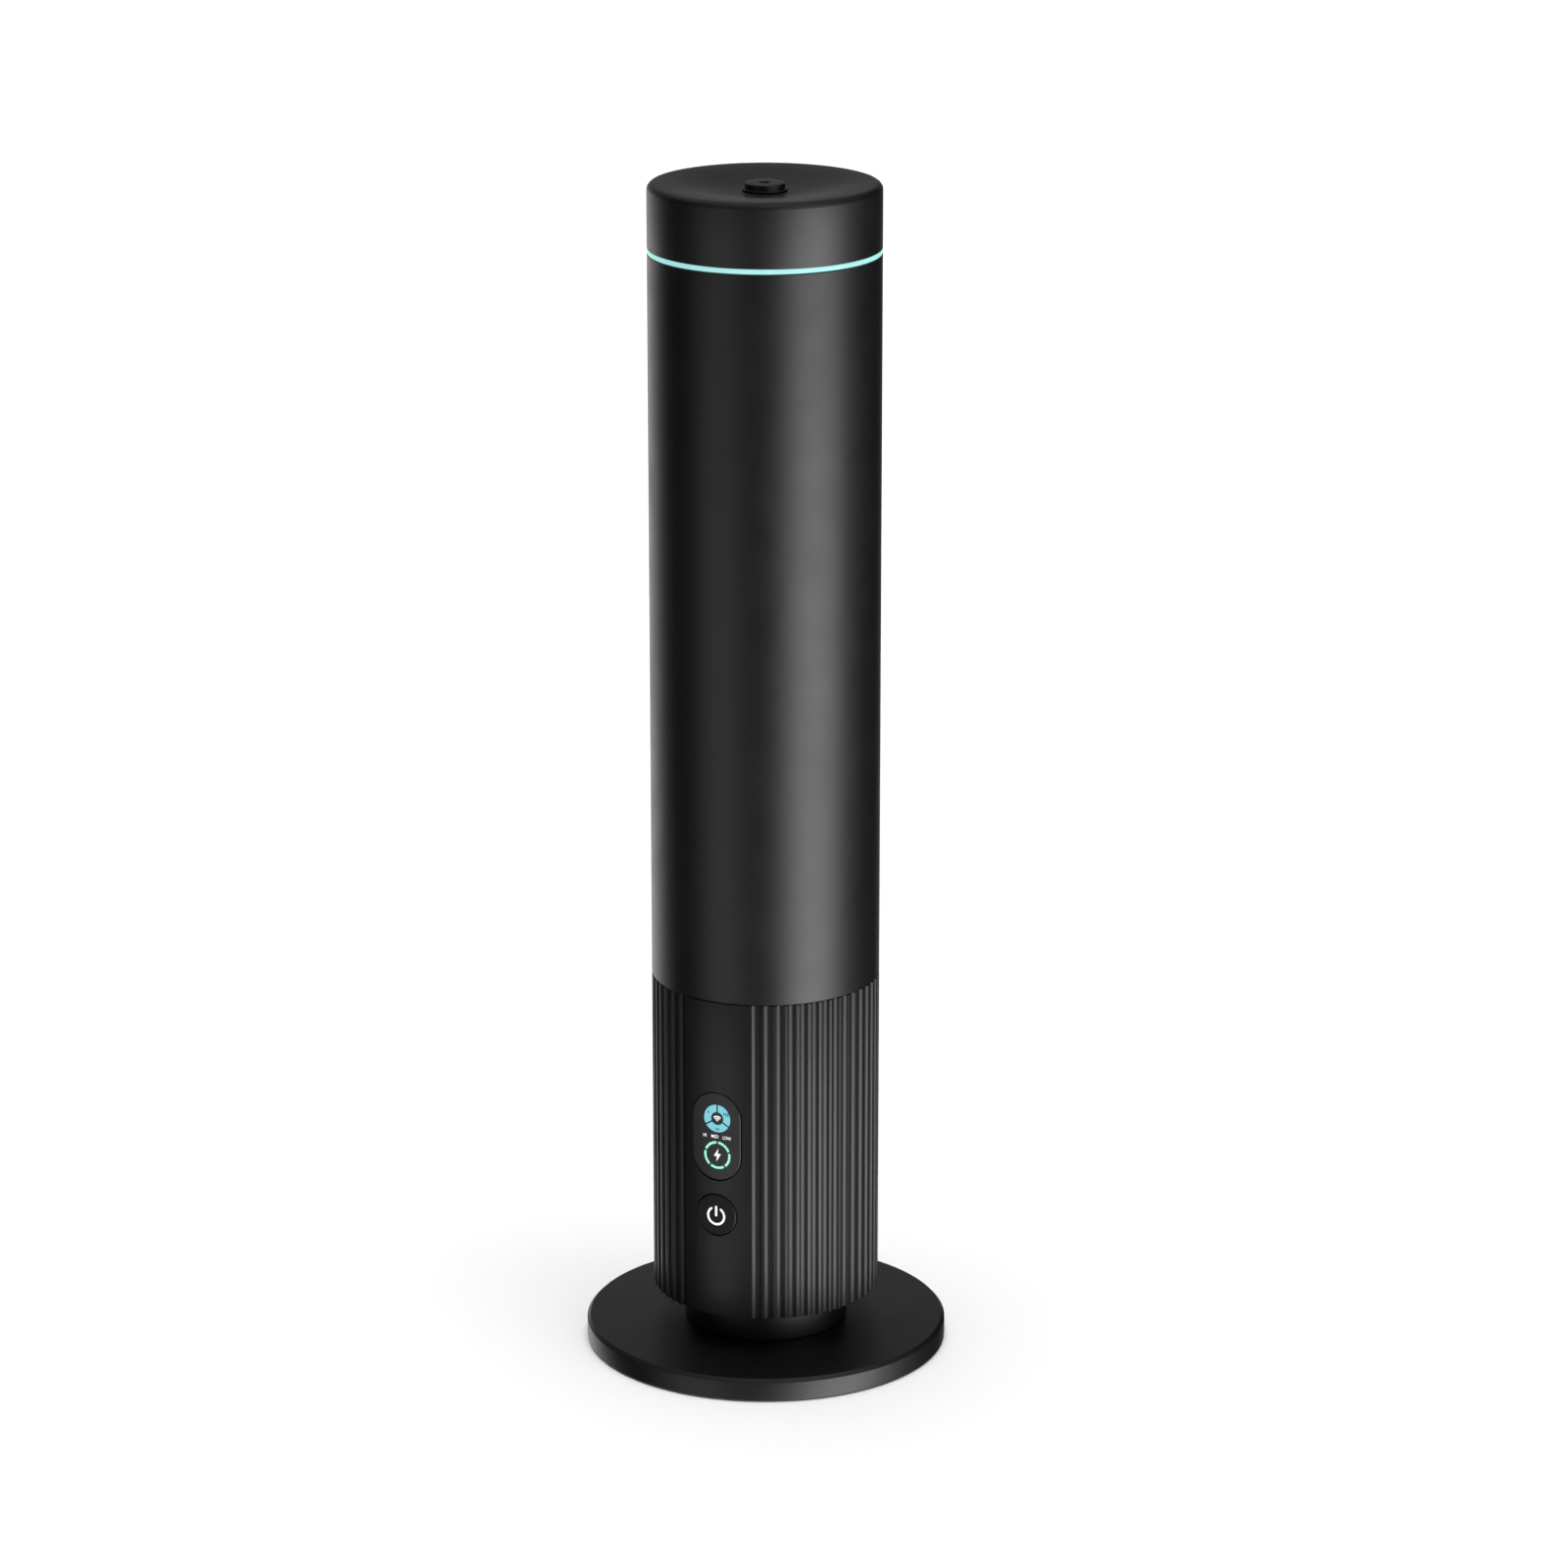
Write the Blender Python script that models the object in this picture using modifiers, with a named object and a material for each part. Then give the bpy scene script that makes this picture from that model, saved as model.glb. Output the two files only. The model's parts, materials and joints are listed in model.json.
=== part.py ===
"""Cordless tower scent diffuser, built as the assembly that it is.

Frame: metres, +Z up, origin on the floor below the tower's axis.  The control panel faces -Y.
From the floor up: a weighted base, a neck, a ribbed lower housing with the controls and the
battery, a smooth tube with the air pump and the oil bottle, a light ring, and a lift-off cap.
"""
import math

import bmesh
import bpy
from mathutils import Matrix, Vector

MM = 0.001

# ---- Driving dimensions -----------------------------------------------------------------
GAP = 0.3 * MM                # clearance between two pieces that touch

BODY_R = 50.0 * MM            # outside of the tube, the cap and the rib crests
BASE_R = 80.0 * MM
NECK_R = 36.0 * MM

FOOT_H = 0.6 * MM             # how far the foot pads stand below the base
BASE_TOP = 10.4 * MM
HOUSING_Z0 = 26.5 * MM
HOUSING_Z1 = 171.6 * MM
TUBE_Z0 = HOUSING_Z1 + GAP
TUBE_Z1 = 491.6 * MM
LIGHT_Z0 = TUBE_Z1 + GAP
LIGHT_Z1 = 494.2 * MM
CAP_Z0 = LIGHT_Z1 + GAP
CAP_Z1 = 521.4 * MM           # rim of the cap, level with the top of the nozzle

HOUSING_WALL = 4.0 * MM
TUBE_WALL = 2.5 * MM
CAP_WALL = 3.0 * MM
CAP_FILLET = 1.7 * MM

RIBS = 60                     # rib pitches in a full turn
RIB_DEPTH = 0.8 * MM
RIB_CREST = 0.14              # half width of a crest, as a share of the pitch
RIB_VALLEY = 0.36             # where the flank reaches the valley, as a share of the pitch
PANEL_RIBS = 3                # pitches on each side of the panel's centre without valleys

WINDOW_W = 23.0 * MM          # display window, a flat pill
WINDOW_H = 40.2 * MM
WINDOW_Z = 110.0 * MM
WINDOW_FACE_Y = -49.5 * MM
WINDOW_T = 2.0 * MM
WINDOW_LEDGE = 2.0 * MM       # how far the ledge behind the window reaches under its edge

BUTTON_R = 9.5 * MM
BUTTON_Z = 73.7 * MM
BUTTON_FACE_Y = -50.3 * MM
BUTTON_BACK_Y = -44.0 * MM
BUTTON_FLANGE_R = 11.4 * MM
BUTTON_FLANGE_T = 1.2 * MM
BUTTON_TRAVEL = 0.8 * MM

PORT_Z = 47.0 * MM            # centre of the charging socket, on the side away from the panel
CONTROL_BOARD_Y = -38.0 * MM  # front face of the control board
FRAME_Y = -30.0 * MM          # front face of the upright frame behind it
BOARD_T = 1.6 * MM

SHELF_Z0 = 182.0 * MM         # shelf that carries the air pump
SHELF_T = 3.0 * MM
SHELF_R = 46.9 * MM
SEAT_Z0 = 267.8 * MM          # seat that carries the oil bottle
SEAT_T = 3.0 * MM
THREE_ANGLES = (90, 210, 330)  # directions of the screws and of the seat's legs, in degrees

BOTTLE_R = 33.0 * MM
BOTTLE_Z0 = SEAT_Z0 + SEAT_T + GAP
BOTTLE_Z1 = 412.0 * MM
BOTTLE_NECK_R = 14.0 * MM
RISER_X = 39.8 * MM           # air riser, which feeds the atomizer's arm from below
RISER_R = 2.8 * MM
RISER_BORE = 1.5 * MM
RISER_Z1 = 425.0 * MM
LEAD_R = 46.1 * MM            # distance of the light ring's lead from the axis

BIG = 48                      # sides of the outer round pieces
LINER = 36                    # sides of the wide rings and plates inside them
MEDIUM = 24                   # sides of the inner round pieces
SMALL = 12                    # sides of screws, posts and pipes

# ---- Scene, collections and materials ----------------------------------------------------


def clear_scene():
    for old in list(bpy.data.objects):
        bpy.data.objects.remove(old, do_unlink=True)


def new_collection(name):
    collection = bpy.data.collections.new(name)
    bpy.context.scene.collection.children.link(collection)
    return collection


clear_scene()
PARTS = new_collection("tower_scent_diffuser")
CUTTERS = new_collection("cutters")

FINISHES = {                  # base colour, roughness, metallic
    "satin_black": ((0.012, 0.012, 0.013), 0.45, 0.0),
    "anodised_black": ((0.014, 0.014, 0.015), 0.42, 0.6),
    "inner_black": ((0.020, 0.020, 0.021), 0.60, 0.0),
    "gloss_black": ((0.006, 0.006, 0.007), 0.12, 0.0),
    "button_black": ((0.006, 0.006, 0.006), 0.40, 0.0),
    "rubber": ((0.018, 0.018, 0.018), 0.85, 0.0),
    "silicone": ((0.65, 0.66, 0.64), 0.50, 0.0),
    "steel": ((0.55, 0.55, 0.54), 0.32, 1.0),
    "nickel": ((0.66, 0.64, 0.60), 0.28, 1.0),
    "circuit_board": ((0.012, 0.085, 0.040), 0.45, 0.0),
    "battery_wrap": ((0.035, 0.160, 0.330), 0.40, 0.0),
    "opal_plastic": ((0.80, 0.82, 0.82), 0.45, 0.0),
    "light_cyan": ((0.45, 0.85, 0.84), 0.40, 0.0),
    "amber_glass": ((0.30, 0.13, 0.035), 0.06, 0.0),
    "white_plastic": ((0.72, 0.72, 0.70), 0.45, 0.0),
    "filter_foam": ((0.10, 0.10, 0.11), 0.95, 0.0),
    "lead_red": ((0.45, 0.02, 0.02), 0.50, 0.0),
}


def finish(name, finish_name):
    """A material of its own for one piece."""
    colour, roughness, metallic = FINISHES[finish_name]
    material = bpy.data.materials.new(name)
    material.use_nodes = True
    shader = material.node_tree.nodes["Principled BSDF"]
    shader.inputs["Base Color"].default_value = (*colour, 1.0)
    shader.inputs["Roughness"].default_value = roughness
    shader.inputs["Metallic"].default_value = metallic
    material.diffuse_color = (*colour, 1.0)
    return material


# ---- Modelling tools ---------------------------------------------------------------------


def add_mesh_object(name, mesh, finish_name, at=(0, 0, 0)):
    """Put a mesh in the scene: as a piece when it has a finish, else as a cutter or a guide."""
    part = bpy.data.objects.new(name, mesh)
    part.location = at
    if finish_name:
        PARTS.objects.link(part)
        mesh.materials.clear()
        mesh.materials.append(finish(name, finish_name))
        mesh.shade_smooth()
        mesh.set_sharp_from_angle(angle=math.radians(35))
    else:
        CUTTERS.objects.link(part)
        part.hide_render = True
        part.display_type = "WIRE"
    return part


def baked(source):
    """The evaluated mesh of an object, with the object itself removed."""
    bpy.context.view_layer.update()
    evaluated = source.evaluated_get(bpy.context.evaluated_depsgraph_get())
    mesh = bpy.data.meshes.new_from_object(evaluated)
    mesh.name = source.name
    mesh.transform(source.matrix_world)
    bpy.data.objects.remove(source, do_unlink=True)
    return mesh


def turned(name, profile, finish_name=None, at=(0, 0, 0), sides=BIG, closed=True):
    """A profile of (radius, height) points, outer side first and downwards, turned about Z."""
    mesh = bpy.data.meshes.new(name)
    points = [(radius, 0, height) for radius, height in profile]
    edges = [(i, i + 1) for i in range(len(points) - 1)]
    if closed:
        edges.append((len(points) - 1, 0))
    mesh.from_pydata(points, edges, [])
    guide = bpy.data.objects.new(name, mesh)
    CUTTERS.objects.link(guide)
    screw = guide.modifiers.new("turn", "SCREW")
    screw.steps = sides
    screw.render_steps = sides
    screw.use_merge_vertices = True
    screw.merge_threshold = 0.00001
    return add_mesh_object(name, baked(guide), finish_name, at)


def ring(name, inner, outer, low, high, finish_name=None, at=(0, 0, 0), sides=BIG):
    profile = [(outer, high), (outer, low), (inner, low), (inner, high)]
    return turned(name, profile, finish_name, at, sides)


def rod(name, start, end, radius, finish_name=None, sides=SMALL):
    """A round bar from one point to another."""
    start = Vector(start)
    end = Vector(end)
    along = end - start
    mesh = bpy.data.meshes.new(name)
    work = bmesh.new()
    bmesh.ops.create_cone(work, cap_ends=True, segments=sides, radius1=radius, radius2=radius,
                          depth=along.length)
    turn = Vector((0, 0, 1)).rotation_difference(along).to_matrix().to_4x4()
    work.transform(Matrix.Translation((start + end) / 2) @ turn)
    work.to_mesh(mesh)
    work.free()
    return add_mesh_object(name, mesh, finish_name)


def box(name, low, high, finish_name=None, bevel=0.0):
    """A block between two corners, with its edges rounded on request."""
    low = Vector(low)
    high = Vector(high)
    mesh = bpy.data.meshes.new(name)
    work = bmesh.new()
    bmesh.ops.create_cube(work, size=1.0)
    work.transform(Matrix.Translation((low + high) / 2) @ Matrix.Diagonal((*(high - low), 1)))
    if bevel:
        bmesh.ops.bevel(work, geom=work.edges[:], offset=bevel, segments=1, affect="EDGES")
    work.to_mesh(mesh)
    work.free()
    return add_mesh_object(name, mesh, finish_name)


def plate(name, outlines, low, high, finish_name=None, facing="Z"):
    """A flat outline, with any holes in it, between two levels on the axis that it faces."""
    curve = bpy.data.curves.new(name, "CURVE")
    curve.dimensions = "2D"
    curve.fill_mode = "BOTH"
    curve.extrude = (high - low) / 2
    for outline in outlines:
        spline = curve.splines.new("POLY")
        spline.points.add(len(outline) - 1)
        for point, (x, y) in zip(spline.points, outline):
            point.co = (x, y, 0, 1)
        spline.use_cyclic_u = True
    guide = bpy.data.objects.new(name, curve)
    CUTTERS.objects.link(guide)
    if facing == "Z":
        guide.matrix_world = Matrix.Translation((0, 0, (low + high) / 2))
    else:
        guide.matrix_world = (Matrix.Translation((0, (low + high) / 2, 0))
                              @ Matrix.Rotation(math.radians(90), 4, "X"))
    mesh = baked(guide)
    work = bmesh.new()
    work.from_mesh(mesh)
    bmesh.ops.remove_doubles(work, verts=work.verts[:], dist=0.000001)
    bmesh.ops.recalc_face_normals(work, faces=work.faces[:])
    work.to_mesh(mesh)
    work.free()
    return add_mesh_object(name, mesh, finish_name)


def pipe(name, route, radius, finish_name):
    """A round cable or hose along a smooth curve through the points of its route."""
    curve = bpy.data.curves.new(name, "CURVE")
    curve.dimensions = "3D"
    curve.bevel_depth = radius
    curve.bevel_resolution = 2
    curve.use_fill_caps = True
    points = smooth_route([Vector(point) for point in route])
    spline = curve.splines.new("POLY")
    spline.points.add(len(points) - 1)
    for target, point in zip(spline.points, points):
        target.co = (*point, 1)
    guide = bpy.data.objects.new(name, curve)
    CUTTERS.objects.link(guide)
    mesh = baked(guide)
    work = bmesh.new()
    work.from_mesh(mesh)
    bmesh.ops.remove_doubles(work, verts=work.verts[:], dist=0.000001)
    bmesh.ops.recalc_face_normals(work, faces=work.faces[:])
    work.to_mesh(mesh)
    work.free()
    return add_mesh_object(name, mesh, finish_name)


def smooth_route(knots, steps=2):
    """Catmull-Rom points through the knots."""
    padded = [2 * knots[0] - knots[1]] + knots + [2 * knots[-1] - knots[-2]]
    points = []
    for a, b, c, d in zip(padded, padded[1:], padded[2:], padded[3:]):
        for step in range(steps):
            t = step / steps
            points.append(0.5 * (2 * b + (c - a) * t + (2 * a - 5 * b + 4 * c - d) * t ** 2
                                 + (3 * b - a - 3 * c + d) * t ** 3))
    points.append(knots[-1])
    return points


def boolean(part, tool, operation):
    modifier = part.modifiers.new(tool.name, "BOOLEAN")
    modifier.operation = operation
    modifier.solver = "EXACT"
    modifier.object = tool


def cut(part, *tools):
    for tool in tools:
        boolean(part, tool, "DIFFERENCE")


def join(part, *tools):
    for tool in tools:
        boolean(part, tool, "UNION")


def circle(radius, sides, centre=(0, 0)):
    return [(centre[0] + radius * math.cos(math.tau * i / sides),
             centre[1] + radius * math.sin(math.tau * i / sides)) for i in range(sides)]


def pill(width, height, centre_z, sides=12):
    """An upright outline with round ends, as (x, z) points."""
    radius = width / 2
    rise = height / 2 - radius
    points = []
    for i in range(sides + 1):
        angle = math.pi * i / sides
        points.append((radius * math.cos(angle), centre_z + rise + radius * math.sin(angle)))
    for i in range(sides + 1):
        angle = math.pi + math.pi * i / sides
        points.append((radius * math.cos(angle), centre_z - rise + radius * math.sin(angle)))
    return points


def at_angle(radius, degrees, height=0.0):
    angle = math.radians(degrees)
    return Vector((radius * math.cos(angle), radius * math.sin(angle), height))


# ---- Base and neck -----------------------------------------------------------------------

UP = Vector((0, 0, 1))
BACK = Vector((0, 1, 0))

BASE_WALL = 2.5 * MM
BASE_CHAMFER = 1.5 * MM
COVER_Z0 = 0.9 * MM
COVER_Z1 = 3.0 * MM
WEIGHT_INNER_R = 31.0 * MM
WEIGHT_R = 65.0 * MM
COVER_SCREW_RING = 70.0 * MM  # distance of the cover's screws from the axis
COVER_SCREW_HOLE = 1.5 * MM
COVER_SCREW_TIP = 6.5 * MM
COVER_RECESS_R = 2.9 * MM
COVER_RECESS_Z = 2.4 * MM
COVER_HEAD_Z = 1.1 * MM
COVER_BOSS_R = 3.2 * MM
FOOT_PAD_RING = 60.0 * MM
FOOT_PAD_R = 7.0 * MM
NECK_WALL = 3.5 * MM
NECK_WEB = 3.0 * MM           # plate across the top of the neck, which the leads pass through
NECK_BORE = 10.0 * MM
NECK_SCREW_RING = 24.0 * MM
NECK_SCREW_HOLE = 2.0 * MM
NECK_HEAD_Z = 4.2 * MM
NECK_SCREW_TIP = 32.5 * MM
BOTTOM_CAP_Z1 = HOUSING_Z0 + 3.0 * MM
BOSS_R = 4.0 * MM
BOSS_Z1 = 34.5 * MM
AIR_SLOTS = 12
AIR_SLOT_R = (37.5 * MM, 43.5 * MM)
AIR_SLOT_W = 2.0 * MM


def screw(name, foot, head_r, head_h, shank_r, tip_z):
    """A pan head screw that stands head down on its foot point."""
    turned(name, [
        (0, tip_z), (shank_r, tip_z), (shank_r, foot.z + head_h), (head_r, foot.z + head_h),
        (head_r, foot.z), (0, foot.z),
    ], "steel", (foot.x, foot.y, 0), SMALL, closed=False)


def base_plate():
    inner_r = BASE_R - BASE_WALL
    inner_top = BASE_TOP - BASE_WALL
    part = turned("base_plate", [
        (0, BASE_TOP), (BASE_R - BASE_CHAMFER, BASE_TOP), (BASE_R, BASE_TOP - BASE_CHAMFER),
        (BASE_R, FOOT_H), (inner_r, FOOT_H), (inner_r, inner_top), (0, inner_top),
    ], "satin_black", closed=False)
    for angle in THREE_ANGLES:
        spot = at_angle(COVER_SCREW_RING, angle)
        boss_foot = spot + UP * (COVER_Z1 + GAP)
        boss_head = spot + UP * (inner_top + MM)
        join(part, rod(f"base_boss_{angle}", boss_foot, boss_head, COVER_BOSS_R))
        hole_end = spot + UP * (COVER_SCREW_TIP + GAP)
        cut(part, rod(f"base_boss_hole_{angle}", spot, hole_end, COVER_SCREW_HOLE))
    for angle in THREE_ANGLES:
        spot = at_angle(NECK_SCREW_RING, angle)
        cut(part, rod(f"base_hole_{angle}", spot, spot + UP * 2 * BASE_TOP, NECK_SCREW_HOLE))


def base_inside():
    ring("base_weight", WEIGHT_INNER_R, WEIGHT_R, COVER_Z1 + GAP, BASE_TOP - BASE_WALL - GAP,
         "steel", sides=LINER)
    cover_r = BASE_R - BASE_WALL - GAP
    cover = turned("base_cover", [
        (0, COVER_Z1), (cover_r, COVER_Z1), (cover_r, COVER_Z0), (0, COVER_Z0),
    ], "inner_black", sides=LINER, closed=False)
    for number, angle in enumerate(THREE_ANGLES, start=1):
        spot = at_angle(COVER_SCREW_RING, angle)
        cut(cover,
            rod(f"cover_recess_{number}", spot, spot + UP * COVER_RECESS_Z, COVER_RECESS_R),
            rod(f"cover_hole_{number}", spot, spot + UP * 2 * COVER_Z1, COVER_SCREW_HOLE))
        screw(f"base_screw_{number}", spot + UP * COVER_HEAD_Z, 2.5 * MM, 1.0 * MM, 1.2 * MM,
              COVER_SCREW_TIP)
    for number in range(1, 5):
        pad = at_angle(FOOT_PAD_RING, 90 * number - 45)
        rod(f"foot_pad_{number}", pad, pad + UP * FOOT_H, FOOT_PAD_R, "rubber", MEDIUM)


def neck():
    top = HOUSING_Z0 - GAP
    web = top - NECK_WEB
    inner = NECK_R - NECK_WALL
    part = turned("neck_collar", [
        (NECK_R, top), (NECK_R, BASE_TOP + GAP), (inner, BASE_TOP + GAP),
        (inner, web), (NECK_BORE, web), (NECK_BORE, top),
    ], "satin_black", sides=LINER)
    for number, angle in enumerate(THREE_ANGLES, start=1):
        spot = at_angle(NECK_SCREW_RING, angle)
        cut(part, rod(f"neck_hole_{angle}", spot, spot + UP * HOUSING_Z0 * 2, NECK_SCREW_HOLE))
        screw(f"neck_screw_{number}", spot + UP * NECK_HEAD_Z, 3.4 * MM, 2.5 * MM, 1.7 * MM,
              NECK_SCREW_TIP)


# ---- Lower housing and its contents ------------------------------------------------------

HOUSING_INNER_R = BODY_R - HOUSING_WALL
INNER_FIT_R = HOUSING_INNER_R - GAP
PANEL_CUT_Y = (-60.0 * MM, -30.0 * MM)  # reach of the cutters that open the panel
PORT_HOLE_W = 13.0 * MM       # opening in the housing round the charging socket
PORT_HOLE_H = 7.4 * MM
BUTTON_EDGE = 0.8 * MM        # rounded edge of the button's face
SWITCH_W = 6.0 * MM
SWITCH_T = 3.5 * MM
SWITCH_TIP_R = 1.7 * MM
SWITCH_PLAY = 0.1 * MM        # free space left at the end of the button's travel
CONTROL_BOARD_W = 42.0 * MM
CONTROL_BOARD_Z = (58.0 * MM, 131.0 * MM)
FRAME_W = 62.0 * MM
FRAME_T = 2.5 * MM
FRAME_WINDOW_W = 28.0 * MM
FRAME_WINDOW_Z = (84.0 * MM, 112.0 * MM)
BOARD_POSTS = ((-18.0 * MM, 127.0 * MM), (18.0 * MM, 62.0 * MM))  # x and z
BOARD_POST_R = 2.6 * MM
BOARD_POST_HOLE = 1.3 * MM
BOARD_SCREW_R = 1.0 * MM
BOARD_HEAD_R = 2.2 * MM
BOARD_HEAD_H = 1.3 * MM
MAIN_BOARD_W = 52.0 * MM
MAIN_BOARD_Z = (58.0 * MM, 124.0 * MM)
MAIN_BOARD_BLOCKS = (         # name, x range, z range and height, in millimetres
    ("chip", -8, 8, 84, 100, 1.5), ("radio", -24, -10, 104, 121, 2.4),
    ("plug", 12, 22, 112, 118, 6.0), ("coil", 10, 20, 66, 76, 4.5),
)
CELL_R = 9.2 * MM             # wrapped cell of the common 18 by 65 mm size
CELL_H = 65.0 * MM
CELL_X = 10.2 * MM
CELL_Y = 14.0 * MM
CELL_Z0 = 41.0 * MM
CELL_PLAY = 0.4 * MM
HOLDER_END = 4.0 * MM
HOLDER_WALL = 2.0 * MM
SOCKET_W = 9.0 * MM
SOCKET_H = 3.2 * MM
SOCKET_DEPTH = 7.4 * MM
SOCKET_WALL = 0.35 * MM
SOCKET_BACK = 1.4 * MM
TONGUE_W = 6.6 * MM
TONGUE_T = 0.7 * MM
CHARGE_BOARD_W = 18.0 * MM
CHARGE_BOARD_Y = 28.0 * MM
CHARGE_BOARD_T = 1.2 * MM
JOINING_R = 42.5 * MM
JOINING_Z0 = 163.3 * MM


def rib_outline():
    """The housing's cross-section: ribs all round, filled in across the control panel."""
    valley_r = BODY_R - RIB_DEPTH
    points = []
    for k in range(RIBS):
        side = min(k, RIBS - k)
        steps = [(-RIB_CREST, BODY_R), (RIB_CREST, BODY_R)]
        if side < PANEL_RIBS:
            steps = [(-0.25, BODY_R), (0.25, BODY_R)]
        if side > PANEL_RIBS:
            steps = [(-RIB_VALLEY, valley_r)] + steps + [(RIB_VALLEY, valley_r)]
        elif k == PANEL_RIBS:
            steps = steps + [(RIB_VALLEY, valley_r)]
        elif k == RIBS - PANEL_RIBS:
            steps = [(-RIB_VALLEY, valley_r)] + steps
        for share, radius in steps:
            angle = math.tau * (k + share) / RIBS - math.pi / 2
            points.append((radius * math.cos(angle), radius * math.sin(angle)))
    return points


def lower_housing():
    part = plate("lower_housing", [rib_outline(), circle(HOUSING_INNER_R, BIG)],
                 HOUSING_Z0, HOUSING_Z1, "satin_black")
    ledge_y = WINDOW_FACE_Y + WINDOW_T + GAP
    pocket = pill(WINDOW_W + 2 * GAP, WINDOW_H + 2 * GAP, WINDOW_Z)
    light_hole = pill(WINDOW_W - 2 * WINDOW_LEDGE, WINDOW_H - 2 * WINDOW_LEDGE, WINDOW_Z)
    button_hole = circle(BUTTON_R + GAP, 32, (0, BUTTON_Z))
    front, back = PANEL_CUT_Y
    cut(part,
        plate("window_pocket", [pocket], front, ledge_y, facing="Y"),
        plate("window_hole", [light_hole], front, back, facing="Y"),
        plate("button_hole", [button_hole], front, back, facing="Y"),
        box("port_hole", (-PORT_HOLE_W / 2, -back, PORT_Z - PORT_HOLE_H / 2),
            (PORT_HOLE_W / 2, -front, PORT_Z + PORT_HOLE_H / 2)))


def bottom_cap():
    """The plate that closes the housing below, with slots that let air in round the neck."""
    part = turned("bottom_cap", [
        (0, BOTTOM_CAP_Z1), (INNER_FIT_R, BOTTOM_CAP_Z1), (INNER_FIT_R, HOUSING_Z0),
        (0, HOUSING_Z0),
    ], "inner_black", sides=LINER, closed=False)
    for angle in THREE_ANGLES:
        spot = at_angle(NECK_SCREW_RING, angle)
        boss_foot = spot + UP * (BOTTOM_CAP_Z1 - MM)
        join(part, rod(f"cap_boss_{angle}", boss_foot, spot + UP * BOSS_Z1, BOSS_R))
        hole_end = spot + UP * (NECK_SCREW_TIP + 0.5 * MM)
        cut(part, rod(f"cap_boss_hole_{angle}", spot, hole_end, NECK_SCREW_HOLE))
    near, far = AIR_SLOT_R
    for i in range(AIR_SLOTS):
        slot = box(f"air_slot_{i}", (near, -AIR_SLOT_W / 2, 0), (far, AIR_SLOT_W / 2, 2 * HOUSING_Z0))
        slot.rotation_euler.z = math.tau * (i + 0.5) / AIR_SLOTS
        cut(part, slot)


def display():
    plate("display_window", [pill(WINDOW_W, WINDOW_H, WINDOW_Z)],
          WINDOW_FACE_Y, WINDOW_FACE_Y + WINDOW_T, "gloss_black", facing="Y")
    width = WINDOW_W - 2 * WINDOW_LEDGE - 2 * GAP
    height = WINDOW_H - 2 * WINDOW_LEDGE - 2 * GAP
    plate("light_guide", [pill(width, height, WINDOW_Z, 8)],
          WINDOW_FACE_Y + WINDOW_T + GAP, CONTROL_BOARD_Y - GAP, "opal_plastic", facing="Y")


def power_button():
    back = BUTTON_FACE_Y - BUTTON_BACK_Y
    face = turned("power_button", [
        (0, 0), (BUTTON_R - BUTTON_EDGE, 0),
        (BUTTON_R - 0.3 * BUTTON_EDGE, -0.3 * BUTTON_EDGE), (BUTTON_R, -BUTTON_EDGE),
        (BUTTON_R, back), (BUTTON_FLANGE_R, back), (BUTTON_FLANGE_R, back - BUTTON_FLANGE_T),
        (0, back - BUTTON_FLANGE_T),
    ], "button_black", (0, BUTTON_FACE_Y, BUTTON_Z), 32, closed=False)
    face.rotation_euler.x = math.radians(90)


def button_switch():
    half = SWITCH_W / 2
    front = CONTROL_BOARD_Y - SWITCH_T
    part = box("button_switch", (-half, front, BUTTON_Z - half),
               (half, CONTROL_BOARD_Y - GAP, BUTTON_Z + half), "inner_black")
    tip_y = BUTTON_BACK_Y + BUTTON_FLANGE_T + BUTTON_TRAVEL + SWITCH_PLAY
    join(part, rod("switch_plunger", (0, tip_y, BUTTON_Z), (0, front + MM, BUTTON_Z), SWITCH_TIP_R))


def control_board():
    """The board behind the panel, and the upright frame whose posts it is screwed to."""
    back = CONTROL_BOARD_Y + BOARD_T
    low, high = CONTROL_BOARD_Z
    board = box("control_board", (-CONTROL_BOARD_W / 2, CONTROL_BOARD_Y, low),
                (CONTROL_BOARD_W / 2, back, high), "circuit_board")
    frame = box("inner_frame", (-FRAME_W / 2, FRAME_Y, BOTTOM_CAP_Z1 + GAP),
                (FRAME_W / 2, FRAME_Y + FRAME_T, high), "inner_black")
    front_cut, back_cut = PANEL_CUT_Y
    window_low, window_high = FRAME_WINDOW_Z
    cut(frame, box("frame_window", (-FRAME_WINDOW_W / 2, front_cut, window_low),
                   (FRAME_WINDOW_W / 2, -back_cut, window_high)))
    for number, (x, z) in enumerate(BOARD_POSTS, start=1):
        spot = Vector((x, 0, z))
        post = rod(f"post_{number}", spot + BACK * (back + GAP), spot + BACK * (FRAME_Y + MM),
                   BOARD_POST_R)
        join(frame, post)
        cut(frame, rod(f"post_hole_{number}", spot + BACK * front_cut,
                       spot + BACK * (FRAME_Y - MM), BOARD_POST_HOLE))
        cut(board, rod(f"board_hole_{number}", spot + BACK * front_cut, spot, BOARD_POST_HOLE))
        head = CONTROL_BOARD_Y - GAP
        pin = rod(f"board_screw_{number}", spot + BACK * (head - BOARD_HEAD_H), spot + BACK * head,
                  BOARD_HEAD_R, "steel")
        join(pin, rod(f"board_shank_{number}", spot + BACK * (head - MM),
                      spot + BACK * (FRAME_Y - 1.5 * MM), BOARD_SCREW_R))


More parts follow.
